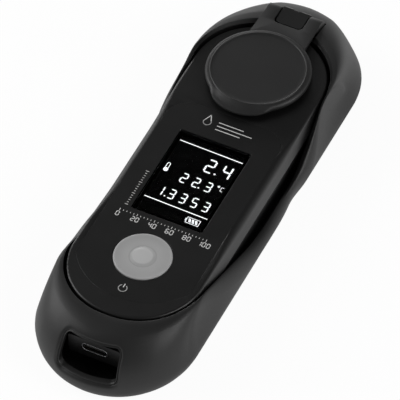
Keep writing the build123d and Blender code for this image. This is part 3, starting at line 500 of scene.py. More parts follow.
# %% The shell's own sizes
shell_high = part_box("outer_shell")[1]
half_length = shell_high.y
half_width = shell_high.x
bottom_rounding = 7.0 * mm
side_foot = 8.5 * mm
near_foot = 5.6 * mm
far_foot = 7.0 * mm
rim_height_far = 24.0 * mm
rim_height_near = 23.0 * mm
dome_length = 19.3 * mm
dome_spare_rise = 0.05 * mm
side_lean = 3.1 * mm
lean_power = 2.4
waist_height = 9.0 * mm
ramp_near_top = -50.1 * mm
ramp_far_top = 40.9 * mm
ramp_near_length = 40.0 * mm
ramp_far_length = 23.5 * mm
waist_near = ramp_near_top + ramp_near_length
waist_far = ramp_far_top - ramp_far_length
near_top_arc = ramp_near_length
near_waist_arc = 1.5 * ramp_near_length
far_waist_arc = 0.94 * ramp_far_length
far_top_arc = 0.77 * ramp_far_length
arc_steps = 16
pocket_far = 41.2 * mm
pocket_near = -44.8 * mm
pocket_waist = 23.6 * mm
pocket_top = 22.8 * mm
pocket_fuller = 0.5 * mm
shell_floor = 2.2 * mm


def foot_loss(z, rounding):
    """How much the rounding of the bottom edge takes off at a height."""
    return rounding - math.sqrt(rounding**2 - (rounding - z) ** 2) if z < rounding else 0.0


def shell_radius(z):
    """Half the shell's width at a height."""
    rise = max(0.0, z - bottom_rounding) / (rim_height_far - bottom_rounding)
    return half_width - foot_loss(z, side_foot) - side_lean * rise**lean_power


def shell_tip(z, foot=far_foot, inset=0.0):
    """How far a round end of the shell reaches at a height."""
    if z < bottom_rounding:
        return half_length - foot_loss(z, foot) - inset
    rise = (z - bottom_rounding) / (rim_height_far - bottom_rounding + dome_spare_rise - inset)
    return half_length - dome_length + (dome_length - inset) * math.sqrt(max(0.0, 1 - rise**2))


def rim_curve():
    """The rim along the shell, as (place, height) points: straight runs joined by tangent arcs."""
    corners = [
        (ramp_near_top, rim_height_near, near_top_arc),
        (waist_near, waist_height, near_waist_arc),
        (waist_far, waist_height, far_waist_arc),
        (ramp_far_top, rim_height_far, far_top_arc),
    ]
    turns = [corner[:2] for corner in corners]
    ends = [(-half_length, rim_height_near)] + turns + [(half_length, rim_height_far)]
    line = [np.array(ends[0])]
    for k, (y, z, radius) in enumerate(corners):
        here = np.array((y, z))
        back = np.array(ends[k]) - here
        ahead = np.array(ends[k + 2]) - here
        back, ahead = back / np.linalg.norm(back), ahead / np.linalg.norm(ahead)
        half_turn = (math.pi - math.acos(np.clip(back @ ahead, -1, 1))) / 2
        reach = radius * math.tan(half_turn)
        middle = here + (back + ahead) / np.linalg.norm(back + ahead) * radius / math.cos(half_turn)
        start, stop = here + back * reach, here + ahead * reach
        for t in np.linspace(0, 1, arc_steps):
            spoke = (start - middle) * (1 - t) + (stop - middle) * t
            line.append(middle + spoke / np.linalg.norm(spoke) * radius)
    line.append(np.array(ends[-1]))
    return np.array(line)


rim_line = rim_curve()


def rim_height(y):
    """The rim's height at a place along the shell."""
    return float(np.interp(y, rim_line[:, 0], rim_line[:, 1]))


# %% Stations round the outline
def stations(end_steps, side_steps):
    """(cosine, sine, share towards the near end) all round a slot with round ends."""
    found = []
    for end in (0, 1):
        for k in range(end_steps):
            turn = math.pi * (end + k / end_steps)
            found.append((math.cos(turn), math.sin(turn), float(end)))
        for k in range(side_steps):
            found.append((2.0 * end - 1.0, 0.0, abs(end - k / side_steps)))
    return found


shell_stations = stations(72, 72)


def slot_point(station, radius, near, far):
    """The point of a slot's outline at a station."""
    cosine, sine, share = station
    return np.array((radius * cosine, far + (near - far) * share + radius * sine))


def pocket_radius(z):
    """The pocket narrows a little towards the face."""
    return float(np.interp(z, (waist_height, rim_height_far + mm), (pocket_waist, pocket_top)))


# Degrees off the tip of a round end, and how many millimetres its shoulder falls away there.
far_shoulder = ((0, 20, 40, 50, 61, 71, 82, 90), (0, 0.1, 1.5, 2.1, 2.4, 2.6, 2.7, 2.7))
near_shoulder = ((0, 45, 60, 70, 80, 90), (0, 0, 0.4, 0.8, 1.4, 1.5))
shoulder_start = 20 * mm
shoulder_top = rim_height_far + 0.3 * mm
least_wall = 1.0 * mm


def ease(value, low, high):
    """A smooth step from zero to one."""
    share = min(1.0, max(0.0, (value - low) / (high - low)))
    return share * share * (3 - 2 * share)


def off_tip(station):
    """Degrees between a station of a round end and the end's tip."""
    return math.degrees(math.atan2(abs(station[0]), abs(station[1])))


def shoulder_loss(station, z, radius, centre):
    """The domes fall away at their shoulders, most of all half-way up the far one."""
    on_side = station[1] == 0
    y = centre - 2 * centre * station[2] if on_side else 0.0
    at_far = station[1] > 0 or (on_side and y > 0)
    degrees, losses = far_shoulder if at_far else near_shoulder
    depth = np.interp(off_tip(station), degrees, losses)
    fade = ease(abs(y), shoulder_start, centre) if on_side else 1.0
    height = np.clip((z - bottom_rounding) / (shoulder_top - bottom_rounding), 0, 1)
    loss = depth * mm * math.sin(math.pi * height) * fade
    pocket_end = pocket_far if at_far else -pocket_near
    spare = (centre - pocket_end) * abs(station[1]) + radius - pocket_radius(z) - least_wall
    return min(loss, max(0.0, spare))


def shell_plan(station, z):
    """The shell's outline at a height."""
    radius = shell_radius(z)
    foot = near_foot if station[2] >= 0.5 else far_foot
    centre = shell_tip(z, foot) - radius
    if station[1] == 0:
        near_centre = shell_tip(z, near_foot) - radius
        far_centre = shell_tip(z, far_foot) - radius
        point = slot_point(station, radius, -near_centre, far_centre)
    else:
        point = slot_point(station, radius, -centre, centre)
    loss = shoulder_loss(station, z, radius, centre)
    return point - loss * np.array(station[:2])


def corner_fullness(station):
    """The pocket and the inner body are a little fuller at their corners than a true half circle."""
    return pocket_fuller * math.sin(math.radians(2 * off_tip(station))) if station[1] else 0.0


def pocket_plan(station, z):
    """The pocket's outline at a height."""
    return slot_point(station, pocket_radius(z) + corner_fullness(station), pocket_near, pocket_far)


def meet_rim(station, plan):
    """The height at which a wall meets the rim at a station."""
    z = rim_height_far
    for _ in range(12):
        z = rim_height(plan(station, z)[1])
    return z


# %% Build the shell's rings
rim_inner_rounding = 0.25 * mm
crest_rounding = 0.4 * mm
lip_width = 1.1 * mm
waist_lip = 0.35 * mm
foot_gap = 0.3 * mm
crest_rise = 1.05 * mm
far_start, far_full = 14 * mm, 40 * mm
near_start, near_full = 20 * mm, 55 * mm
waist_slope, near_slope = 1.1, 0.5
foot_turns = np.linspace(0, math.pi / 2, 9)
side_shares = np.sin(np.linspace(0, math.pi / 2, 18)[1:])


def shell_column(station):
    """One upright line of the shell's skin, from the underside over the rim into the pocket."""
    top = meet_rim(station, shell_plan)
    edge = shell_plan(station, top)
    wall_top = meet_rim(station, pocket_plan)
    wall = pocket_plan(station, wall_top)
    inward = (wall - edge) / np.linalg.norm(wall - edge)
    far = ease(edge[1], far_start, far_full)
    near = ease(-edge[1], near_start, near_full)
    flat_lip = waist_lip + (lip_width - waist_lip) * near
    soft = max(crest_rounding, float(np.linalg.norm(wall - edge)) - flat_lip)
    across = soft + (crest_rounding - soft) * far
    down = across * (waist_slope + (near_slope - waist_slope) * near)
    drop = crest_rise * far
    shoulder = top - down
    foot_top = min(bottom_rounding, shoulder - foot_gap)
    column = []
    for turn in foot_turns:
        z = foot_top * (1 - math.cos(turn))
        column.append((*shell_plan(station, z), z))
    for share in side_shares:
        z = foot_top + (shoulder - foot_top) * share
        column.append((*shell_plan(station, z), z))
    flat = edge + inward * across
    lip = wall - inward * rim_inner_rounding
    start = np.array((*shell_plan(station, shoulder), shoulder))
    column += rounded(start, (*edge, top), (*flat, rim_height(flat[1])), 8)[1:]
    for share in (0.12, 0.4, 0.7):
        between = flat + (lip - flat) * share
        column.append((*between, rim_height(between[1]) - drop * share))
    inner_top = wall_top - drop
    low = inner_top - rim_inner_rounding
    column += rounded(
        (*lip, rim_height(lip[1]) - drop), (*wall, inner_top), (*pocket_plan(station, low), low), 4
    )
    for share in (0.3, 0.65, 1.0):
        z = low + (shell_floor - low) * share
        column.append((*pocket_plan(station, z), z))
    return column


columns = [shell_column(station) for station in shell_stations]
shell_rings = [list(ring) for ring in zip(*columns)]
print("the shell has", len(shell_rings), "rings of", len(columns), "points")

# %% [markdown]
# ### The opening in front of the charging socket
#
# The opening's edge is softly rounded, which a plain cut can't give. Here the shell's grid is left open
# over a patch of the near dome, and the hole is filled by rings of its own: they start on the patch's
# border, close in on the opening over the dome's surface, roll over its edge, and run inwards.

# %% The opening
window_sill = 8.8 * mm
window_head = 19.3 * mm
window_foot_half = 9.9 * mm
window_head_half = 9.4 * mm
window_corner = 2.0 * mm
window_middle = (window_sill + window_head) / 2
window_deep = -74.0 * mm
dome_wall = 2.4 * mm


def near_surface(x, z):
    """How far out the near dome's surface is, at a place across and a height."""
    radius = shell_radius(z)
    return -(shell_tip(z, near_foot) - radius + math.sqrt(max(0.0, radius**2 - x * x)))


def window_point(turn, grow):
    """Where a ray from the opening's middle meets its rounded outline, grown outwards a little."""
    a = (window_foot_half + window_head_half) / 2 + grow
    b = (window_head - window_sill) / 2 + grow
    corner = window_corner + grow
    ray = np.array((math.cos(turn), math.sin(turn)))
    reach = min(a / max(abs(ray[0]), 1e-9), b / max(abs(ray[1]), 1e-9))
    point = ray * reach
    heart = np.array((a - corner, b - corner))
    if abs(point[0]) > heart[0] and abs(point[1]) > heart[1]:
        heart = heart * np.sign(ray)
        along = ray @ heart
        reach = along + math.sqrt(max(0.0, along**2 - heart @ heart + corner**2))
        point = ray * reach
    lean = (window_head_half - window_foot_half) / (window_head - window_sill)
    return point[0] * (1 + lean * point[1] / a), window_middle + point[1]


def patch_border(rings, low_z, high_z, half_x):
    """The block of the grid round the opening: its ring and station limits."""
    side_ring = rings[len(foot_turns) + 3]
    middle = min(range(len(shell_stations)), key=lambda i: side_ring[i][1])
    outer_rings = range(len(foot_turns) - 1, len(foot_turns) + len(side_shares))
    inside = [k for k in outer_rings if low_z < rings[k][middle][2] < high_z]
    first, last = inside[0] - 1, inside[-1] + 1
    reach = 1
    while rings[first][middle + reach][0] < half_x:
        reach += 1
    return first, last, middle - reach, middle + reach


first_ring, last_ring, first_station, last_station = patch_border(
    shell_rings, window_sill - 2.0 * mm, window_head + 1.6 * mm, window_foot_half + 2.4 * mm
)
border = (
    [(first_ring, i) for i in range(first_station, last_station)]
    + [(k, last_station) for k in range(first_ring, last_ring)]
    + [(last_ring, i) for i in range(last_station, first_station, -1)]
    + [(k, first_station) for k in range(last_ring, first_ring, -1)]
)
shell_points, shell_faces = skin(shell_rings)
ring_size = len(shell_stations)
patch = {
    (k * ring_size + i, k * ring_size + i + 1)
    for k in range(first_ring, last_ring)
    for i in range(first_station, last_station)
}
shell_faces = [face for face in shell_faces if len(face) != 4 or (face[0], face[1]) not in patch]
border_points = [np.array(shell_rings[k][i]) for k, i in border]
border_turns = [math.atan2(p[2] - window_middle, p[0]) for p in border_points]


def window_loop(grow, depth):
    """A loop of the opening: on the surface when depth is zero, further in otherwise."""
    loop = []
    for turn in border_turns:
        x, z = window_point(turn, grow)
        loop.append((x, near_surface(x, z) + depth, z))
    return loop


# How far out from the opening and how deep under the dome's surface each loop lies, in millimetres.
mouth = [
    (1.9, 0.0), (1.6, 0.03), (1.25, 0.14), (0.95, 0.34), (0.72, 0.62), (0.58, 0.95),
    (0.5, 1.0), (0.4, 0.92), (0.28, 0.84), (0.15, 0.88), (0.04, 1.05), (0.0, 1.4),
]
opening_loops = [window_loop(grow * mm, depth * mm) for grow, depth in mouth]
opening_loops.append(window_loop(0.0, dome_wall + 0.4 * mm))
opening_loops.append([(x, window_deep, z) for x, y, z in opening_loops[-1]])
start = len(shell_points)
loop_size = len(border)
for loop in opening_loops:
    shell_points += loop
border_index = [k * ring_size + i for k, i in border]
previous = border_index
for level in range(len(opening_loops)):
    current = [start + level * loop_size + i for i in range(loop_size)]
    for i in range(loop_size):
        j = (i + 1) % loop_size
        shell_faces.append((previous[i], previous[j], current[j], current[i]))
    previous = current
shell_faces.append(tuple(previous))
shell = new_piece("soft_shell", shell_points, shell_faces, shell_skin, 40.0)
print("the opening's patch has", loop_size, "border points")

# %% [markdown]
# ### Hollows and recesses of the shell
#
# What is left to cut lies on flat ground or out of sight, where a plain cut is clean: the hollow behind
# the opening, the hinge's recess in the far rim, the sunk screw holes and the plate's shallow recess.


# %% Cut the hollows
hollow_radius = 21.9 * mm
hollow_end = -20 * mm - hollow_radius
hollow_rings = []
for z in (shell_floor + 0.05 * mm, bottom_rounding, 12 * mm, 16 * mm, 20.5 * mm):
    hollow_start = hollow_radius - shell_tip(z, near_foot, dome_wall)
    hollow_rings.append([
        (*slot_point(station, hollow_radius, hollow_start, hollow_end), z) for station in stations(32, 8)
    ])
combine(shell, new_piece("hollow", *skin(hollow_rings), shell_skin), "DIFFERENCE")

hinge_low, hinge_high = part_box("hinge_block")
recess_margin = 0.1 * mm
recess_half = hinge_high.x + recess_margin
recess_back = hinge_high.y + recess_margin
recess_front = hinge_low.y - recess_margin
far_above = 40 * mm
below = -1 * mm
combine(
    shell,
    box_mesh("recess", (-recess_half, recess_front, hinge_low.z), (recess_half, recess_back, far_above)),
    "DIFFERENCE",
)
notch_half = 9.9 * mm
notch_back = recess_back - 0.01 * mm
face_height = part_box("front_casing")[1].z
combine(
    shell,
    box_mesh("notch", (-notch_half, pocket_far, face_height), (notch_half, notch_back, far_above)),
    "DIFFERENCE",
)
screw_low, screw_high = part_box("case_screws")
head_radius = 2.0 * mm
near_screw_x = 11.0 * mm
sunk_radius = 2.25 * mm
sunk_deep = 1.3 * mm
screw_places = [
    (side * x, y)
    for side in (-1, 1)
    for x, y in (
        (screw_high.x - head_radius, screw_high.y - head_radius),
        (near_screw_x, screw_low.y + head_radius),
    )
]
for x, y in screw_places:
    sunk = turned("sunk", [(sunk_radius, below), (sunk_radius, sunk_deep)], (x, y), shell_skin, 48)
    combine(shell, sunk, "DIFFERENCE")
plate_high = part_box("rear_plate")[1]
plate_gap = 0.1 * mm
plate_corner = 2 * mm
plate_deep = 0.3 * mm


def rounded_rectangle(half_x, half_y, corner, z, steps=6):
    """A ring of points round a rounded rectangle."""
    ring = []
    for quarter, (sx, sy) in enumerate(((1, 1), (-1, 1), (-1, -1), (1, -1))):
        for k in range(steps + 1):
            turn = math.pi / 2 * (quarter + k / steps)
            ring.append((
                sx * (half_x - corner) + corner * math.cos(turn),
                sy * (half_y - corner) + corner * math.sin(turn),
                z,
            ))
    return ring


plate_cut = new_piece(
    "plate_cut",
    *skin([
        rounded_rectangle(plate_high.x + plate_gap, plate_high.y + plate_gap, plate_corner, z)
        for z in (below, plate_deep)
    ]),
    shell_skin,
)
combine(shell, plate_cut, "DIFFERENCE")
smooth_by_angle(shell, 34.0)
settle(shell, "outer_shell")
print("the shell has", len(shell.data.polygons), "faces")

# %% [markdown]
# ## The casings and the hinge
#
# The inner body's casings, the hinge block and the small hardware already have their true shape in the
# frame. A merged copy of each, with a touch of rounding along its edges, catches the light the way a
# moulded edge does. Two of them need more: the front casing's edge is softest along the waist, where a
# thumb lies, and the hinge's knuckle has rounded corners. The casing's points are moved for that, which
# keeps its openings as they are, and the knuckle's corners are cut.

# %% Dress the casings and the small pieces
casing_edge = 0.9 * mm
waist_softer = 1.7 * mm
waist_middle = -4 * mm
softest_half, soft_half = 12 * mm, 34 * mm
casing_half = 21.9 * mm
wide_by = 0.35 * mm
fuller_by = 0.35 * mm


def reshape_body(piece):
    """Gives the body a softer edge along its waist and fuller corners, as far as the pocket has room."""
    work = bmesh.new()
    work.from_mesh(piece.data)
    for cut in range(29):
        everything = work.verts[:] + work.edges[:] + work.faces[:]
        cut_y = (3 * cut - 44) * mm
        bmesh.ops.bisect_plane(work, geom=everything, plane_co=(0, cut_y, 0), plane_no=(0, 1, 0))
    for vert in work.verts:
        x, y, z = vert.co
        heart = min(max(y, pocket_near), pocket_far)
        out = math.hypot(x, y - heart)
        if out < casing_half - 1.05 * casing_edge or z < waist_height:
            continue
        side = abs(x) / out
        corner = math.sin(2 * math.acos(min(1.0, side)))
        more = wide_by * side**2 + fuller_by * corner
        edge = casing_edge + waist_softer * (1 - ease(abs(y - waist_middle), softest_half, soft_half))
        if z > face_height - 1.05 * casing_edge:
            turn = math.asin(min(1.0, max(0.0, (out - casing_half + casing_edge) / casing_edge)))
            new_out = casing_half + more - edge * (1 - math.sin(turn))
            vert.co.z = face_height - edge * (1 - math.cos(turn))
        else:
            new_out = out + more * ease(z, waist_height, 14 * mm)
        vert.co.x *= new_out / out
        vert.co.y = heart + (y - heart) * new_out / out
    work.to_mesh(piece.data)
    work.free()


front = merged_copy("front_casing", casing_satin)
reshape_body(front)
smooth_by_angle(front, 30.0)
even_shading(front)
settle(front, "front_casing")
dress("back_casing", casing_satin)

knuckle_half = 4.6 * mm
knuckle_front = hinge_low.y
knuckle_corner = 1.5 * mm
knuckle_foot = 19.4 * mm
round_x = knuckle_half - knuckle_corner
round_y = knuckle_front + knuckle_corner
knuckle = merged_copy("hinge_block", casing_satin)
for side in (-1, 1):
    corner = [(side * (knuckle_half + mm), knuckle_front - mm), (side * (knuckle_half + mm), round_y)]
    corner += [
        (side * (round_x + knuckle_corner * math.cos(t)), round_y - knuckle_corner * math.sin(t))
        for t in np.linspace(0, math.pi / 2, 9)
    ]
    corner.append((side * round_x, knuckle_front - mm))
    cutter_rings = [[(x, y, z) for x, y in corner] for z in (knuckle_foot, far_above)]
    combine(knuckle, new_piece("corner", *skin(cutter_rings), lid_satin), "DIFFERENCE")
soften(knuckle, 0.35 * mm, 38.0, 3)
even_shading(knuckle)
settle(knuckle, "hinge_block")
dress("rear_plate", overlay_film, 0.05 * mm)
dress("hinge_pin", pin_steel)
dress("usb_socket", socket_steel, 0.06 * mm)
dress("usb_tongue", moulded_black, 0.08 * mm)
dress("case_screws", screw_steel, 0.08 * mm)
dress("display_window", window_glass, 0.05 * mm)
dress("prism", optical_glass, 0.05 * mm)
for node, finish in {
    "casing_gasket": seal_black,
    "display_panel": screen_black,
    "display_backlight": white_moulding,
    "display_carrier": white_moulding,
    "main_board": board_green,
    "board_screws": screw_steel,
    "controller_chip": moulded_black,
    "battery_pad": foam_black,
    "battery_pack": battery_foil,
    "battery_plug": white_moulding,
    "battery_leads": lead_red,
    "switch_body": moulded_black,
    "switch_plunger": white_moulding,
    "prism_seal": seal_black,
    "optics_block": moulded_black,
    "condenser_lens": optical_glass,
    "light_source": amber_resin,
    "line_sensor": moulded_black,
    "sensor_board": board_green,
    "optics_screws": screw_steel,
    "sensor_screws": screw_steel,
    "sensor_ribbon": amber_film,
    "temperature_probe": probe_brass,
    "hinge_screws": screw_steel,
}.items():
    dress(node, finish)

# %% [markdown]
# ## The frosted button
#
# The cap is milky and a little see-through, with a shallow dish and a small raised nub in the middle. Its
# colour holds painted light: a painted highlight on its rounded rim and on the nub, painted shade in the
# ring groove, and a lighter painted sheen over the dish. It is turned from one profile. Under its face the
# light scatters, so its finish lets some light in below the surface.

# %% Button
button_low, button_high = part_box("measure_button")
button_y = (button_low.y + button_high.y) / 2
button_radius = 9.33 * mm
cap_top = face_height + 0.25 * mm
nub_radius = 3.3 * mm
flange_radius = button_high.x
flange_top = face_height - 1.9 * mm
flange_low = flange_top - 0.8 * mm
stem_radius = 2.4 * mm
cap_profile = [(stem_radius, button_low.z), (stem_radius, flange_low), (flange_radius, flange_low)]
cap_profile += [(flange_radius, flange_top), (button_radius, flange_top)]
cap_profile += rounded(
    (button_radius, cap_top - 0.35 * mm), (button_radius, cap_top), (button_radius - 0.45 * mm, cap_top), 7
)
cap_profile += [
    (button_radius - 0.9 * mm, cap_top - 0.03 * mm),
    (button_radius - 1.6 * mm, cap_top - 0.12 * mm),
    (6.0 * mm, cap_top - 0.16 * mm),
    (4.6 * mm, cap_top - 0.14 * mm),
    (4.25 * mm, cap_top - 0.2 * mm),
    (3.9 * mm, cap_top - 0.13 * mm),
    (nub_radius + 0.25 * mm, cap_top - 0.06 * mm),
    (nub_radius, cap_top + 0.06 * mm),
    (nub_radius - 0.3 * mm, cap_top + 0.15 * mm),
    (nub_radius * 0.5, button_high.z - 0.01 * mm),
    (nub_radius * 0.15, button_high.z),
]
frosted = Finish("frosted_cap")
frost = frosted.noise(1400.0, 3.0)
milk = frosted.noise(130.0, 2.0)
from_middle = frosted.from_axis(button_y)
# Painted light in the cap's colour: a painted highlight on the nub and on the rounded rim, painted shade in the
# ring groove, and a painted sheen that lightens the cap towards its middle.
painted_nub_highlight = frosted.step(from_middle, nub_radius - 0.35 * mm, nub_radius + 0.25 * mm, 1.0, 0.0)
painted_rim_highlight = frosted.step(from_middle, button_radius - 1.1 * mm, button_radius - 0.2 * mm)
inside_ring = frosted.step(from_middle, 4.3 * mm, 4.6 * mm, 1.0, 0.0)
painted_groove_shade = frosted.step(from_middle, 3.9 * mm, 4.2 * mm) * inside_ring
painted_dish_sheen = frosted.step(from_middle, 4.4 * mm, 8.6 * mm, 1.0, 0.0)
cap_tone = frosted.mix(milk, grey(0.37), grey(0.42))
cap_tone = frosted.mix(painted_dish_sheen * 0.5, cap_tone, grey(0.48))
cap_tone = frosted.mix(painted_rim_highlight * 0.5, cap_tone, grey(0.50))
cap_tone = frosted.mix(painted_groove_shade * 0.5, cap_tone, grey(0.32))
cap_tone = frosted.mix(painted_nub_highlight, cap_tone, grey(0.53))
frosted_cap = frosted.surface(
    Base_Color=cap_tone,
    Roughness=0.42 + (frost - 0.5) * 0.12,
    Normal=frosted.bump(frost, 0.3, 0.00002),
    Subsurface_Weight=0.15,
    Subsurface_Radius=(0.0012, 0.0012, 0.0012),
    Subsurface_Scale=1.0,
)
button = turned("frosted_button", cap_profile, (0, button_y), frosted_cap, 160)
settle(button, "measure_button")

# %% [markdown]
# ## The sample lid
#
# The lid is a round flap with a fine raised ring near its edge. Its edge rolls down, and towards the
# button it swells into a thumb tab: a ramp that leaves the ring hollow and runs out thin. One set of rings
# makes both, because each station blends between the plain edge and the tab by how far the tab stands out.

# %% The lid's disc
lid_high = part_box("lid_cap")[1]
lid_centre = dish_y
lid_radius = 17.1 * mm
ring_radius = 15.4 * mm
ring_half = 0.35 * mm
ring_proud = 0.2 * mm
lid_top = lid_high.z - ring_proud
lid_under = 24.3 * mm
lid_rim_top = lid_under + 0.9 * mm
groove_outer = 13.12 * mm
groove_inner = 11.58 * mm
groove_top = lid_under + 0.7 * mm
heart_radius = 0.2 * mm
tab_half = 10.6 * mm
tab_depth = 7.6 * mm
tab_reach = 19.3 * mm
tab_top = 25.3 * mm
tab_blend = 1.4 * mm
lid_steps = 240


def tab_distance(turn):
    """How far out the tab's rounded outline is in a direction, or nothing where it isn't."""
    offset = tab_reach - tab_depth
    cosine, sine = math.cos(turn), math.sin(turn)
    a = (cosine / tab_half) ** 2 + (sine / tab_depth) ** 2
    b = 2 * offset * sine / tab_depth**2
    c = (offset / tab_depth) ** 2 - 1
    inside = b * b - 4 * a * c
    return (-b + math.sqrt(inside)) / (2 * a) if inside > 0 else 0.0


def lid_reach(turn):
    """The lid's edge in a direction: the disc, or the tab where it stands out, with a soft join."""
    tab = tab_distance(turn)
    soft = 1.2 * mm
    mixed = max(0.0, soft - abs(tab - lid_radius)) ** 2 / (4 * soft)
    return max(tab, lid_radius) + mixed


def lid_column(turn):
    """Radius and height of the lid's skin in one direction, from the middle of its top to below."""
    reach = lid_reach(turn)
    tab = ease(reach, lid_radius, lid_radius + tab_blend)
    column = [(r, lid_top) for r in (heart_radius, 6 * mm, 11 * mm, 14 * mm)]
    for share in np.linspace(-1, 1, 9):
        column.append((
            ring_radius + ring_half * share,
            lid_top + ring_proud * 0.5 * (1 + math.cos(math.pi * share)),
        ))
    outer = ring_radius + ring_half
    round_edge = [
        (outer + (reach - outer) * math.sin(t), lid_rim_top + (lid_top - lid_rim_top) * math.cos(t))
        for t in np.linspace(0, math.pi / 2, 9)[1:]
    ]
    ramp = [
        (outer + (reach - 0.5 * mm - outer) * s, tab_top + (lid_top - tab_top) * (1 - s) ** 1.5)
        for s in np.linspace(0, 1, 7)[1:]
    ] + [(reach - 0.15 * mm, tab_top - 0.12 * mm), (reach, tab_top - 0.45 * mm)]
    for (r0, z0), (r1, z1) in zip(round_edge, ramp):
        column.append((r0 + (r1 - r0) * tab, z0 + (z1 - z0) * tab))
    column += [
        (reach, lid_under + 0.3 * mm),
        (reach - 0.1 * mm, lid_under + 0.1 * mm),
        (reach - 0.3 * mm, lid_under),
        (groove_outer, lid_under),
        (groove_outer, groove_top),
        (groove_inner, groove_top),
        (groove_inner, lid_under),
        (heart_radius, lid_under),
    ]
    return column


lid_columns = [
    [(r * math.cos(t), lid_centre + r * math.sin(t), z) for r, z in lid_column(t)]
    for t in full_turn(lid_steps)
]
lid = new_piece("sample_lid", *skin([list(ring) for ring in zip(*lid_columns)]), lid_satin, 35.0)

# %% [markdown]
# ### The lid's neck and ears
#
# A flat neck runs from the disc to two ears on the hinge pin, with a slot between them for the knuckle.
# Its side view is drawn once and pushed across, then the slot is cut and the edges are rounded before it
# joins the disc, so that the join itself stays a crisp line, as on a moulding.

# %% Neck and ears
hinge = next(joint for joint in frame["joints"] if joint["name"] == "lid_hinge")
pin_y, pin_z = hinge["pos_m"][1], hinge["pos_m"][2]
ear_radius = 3.0 * mm
ear_half = 9.4 * mm
ear_start = pin_y - 3.6 * mm
neck_half = 9.8 * mm
slot_half = 5.05 * mm
slot_front = 63.1 * mm
neck_front = 51.0 * mm
neck_front_top = lid_top - 0.15 * mm
neck_top = 25.4 * mm
side_view = [
    (neck_front, lid_under),
    (neck_front, neck_front_top),
    (slot_front, neck_top),
    (pin_y - 1.2 * mm, pin_z + ear_radius),
]
side_view += [
    (pin_y + ear_radius * math.sin(t), pin_z + ear_radius * math.cos(t))
    for t in np.linspace(0, 1.5 * math.pi, 28)
]
side_view += [(pin_y - ear_radius, lid_under)]
narrow_from = 58 * mm
neck_rings = []
for share in (-1.0, 1.0):
    ring = []
    for y, z in side_view:
        half = float(np.interp(y, (narrow_from, ear_start), (neck_half, ear_half)))
        ring.append((share * half, y, z))
    neck_rings.append(ring)
neck = new_piece("neck", *skin(neck_rings), lid_satin)
slot_long = 20 * mm
slot_corner = 1.6 * mm
slot_low = 10 * mm
slot_rings = []
for z in (slot_low, far_above):
    outline = rounded_rectangle(slot_half, slot_long / 2, slot_corner, z)
    slot_rings.append([(x, y + slot_front + slot_long / 2, z) for x, y, z in outline])
combine(neck, new_piece("slot", *skin(slot_rings), lid_satin), "DIFFERENCE")
soften(neck, 0.35 * mm, 38.0, 3)
combine(lid, neck, "UNION")
bore_radius = 1.05 * mm
bore_half = 8.3 * mm
bore_rings = [
    [(x, pin_y + bore_radius * math.cos(t), pin_z + bore_radius * math.sin(t)) for t in full_turn(48)]
    for x in (-bore_half, bore_half)
]
combine(lid, new_piece("bore", *skin(bore_rings), lid_satin), "DIFFERENCE")
smooth_by_angle(lid, 34.0)
settle(lid, "lid_cap")
print("the lid has", len(lid.data.polygons), "faces")

# %% The lid's seal
seal_low, seal_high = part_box("lid_seal")
seal_outer = seal_high.x
seal_inner = seal_outer - 1.5 * mm
seal_side = seal_low.z + 0.3 * mm
seal_tip = ((seal_inner + seal_outer) / 2, seal_low.z)
seal_profile = [(seal_inner, seal_high.z), (seal_inner, seal_side)]
seal_profile += rounded((seal_inner, seal_side), (seal_inner, seal_low.z), seal_tip)
seal_profile += rounded(seal_tip, (seal_outer, seal_low.z), (seal_outer, seal_side))
seal_profile += [(seal_outer, seal_high.z), (seal_inner, seal_high.z)]
settle(turned("soft_lid_seal", seal_profile, (0, lid_centre), seal_black, 128, False), "lid_seal")

# %% [markdown]
# ## The sample dish
#
# Under the lid lies a polished steel ring with a shallow bowl that leads the drop to the prism. It is
# turned on a lathe. The frame already has its profile, so what it needs is a touch of rounding along its
# edges, and a finish with the fine rings that the tool leaves.

# %% Dish
dress("sample_dish", dish_steel, 0.06 * mm)

# %% [markdown]
# ## The overlay and its printing
#
# The overlay is a thin film let into the face, with the display's and the button's openings cut out. What
# is printed on it is plain: a drop, three lines, a row of ticks with round numbers, a column of ticks and
# a power mark. Print has next to no thickness, so each mark is a very thin solid on the film, in an
# off-white ink.

# %% Overlay
dress("face_label", overlay_film, 0.12 * mm)
ink = moulded_colour("white_ink", (0.82, 0.82, 0.81, 1), 0.5)
print_low = face_height + 0.002 * mm
print_high = face_height + 0.018 * mm


def flat_solid(outlines, low, high):
    """Points and faces of thin solids that stand on flat outlines."""
    points, faces = [], []
    for outline in outlines:
        start, count = len(points), len(outline)
        points += [(x, y, low) for x, y in outline] + [(x, y, high) for x, y in outline]
        faces.append(tuple(start + i for i in reversed(range(count))))
        faces.append(tuple(start + count + i for i in range(count)))
        for i in range(count):
            j = (i + 1) % count
            faces.append((start + i, start + j, start + count + j, start + count + i))
    return points, faces


def stroke(points, width, closed=False):
    """Four-sided outlines that follow a line of points with a width, overlapping at the joints."""
    made = []
    pairs = list(zip(points, points[1:] + points[:1] if closed else points[1:]))
    for (x0, y0), (x1, y1) in pairs:
        length = math.hypot(x1 - x0, y1 - y0)
        ux, uy = (x1 - x0) / length, (y1 - y0) / length
        nx, ny = -uy * width / 2, ux * width / 2
        ex, ey = ux * width * 0.2, uy * width * 0.2
        made.append([
            (x0 - ex - nx, y0 - ey - ny),
            (x1 + ex - nx, y1 + ey - ny),
            (x1 + ex + nx, y1 + ey + ny),
            (x0 - ex + nx, y0 - ey + ny),
        ])
    return made


def arc(cx, cy, radius, start, stop, steps):
    """Points along a circle's arc, in degrees."""
    return [
        (cx + radius * math.cos(math.radians(t)), cy + radius * math.sin(math.radians(t)))
        for t in np.linspace(start, stop, steps)
    ]


# %% [markdown]
# ### Numbers in seven segments
#
# Both the display and the printed scale use the plainest numbers there are, seven straight bars each. A
# table says which bars a number needs; one function lays the bars out at any size.

# %% Seven-segment numbers
segments = {
    "0": "abcdef", "1": "bc", "2": "abged", "3": "abgcd", "4": "fgbc",
    "5": "afgcd", "6": "afgedc", "7": "abc", "8": "abcdefg", "9": "abcdfg", "C": "afed",
}


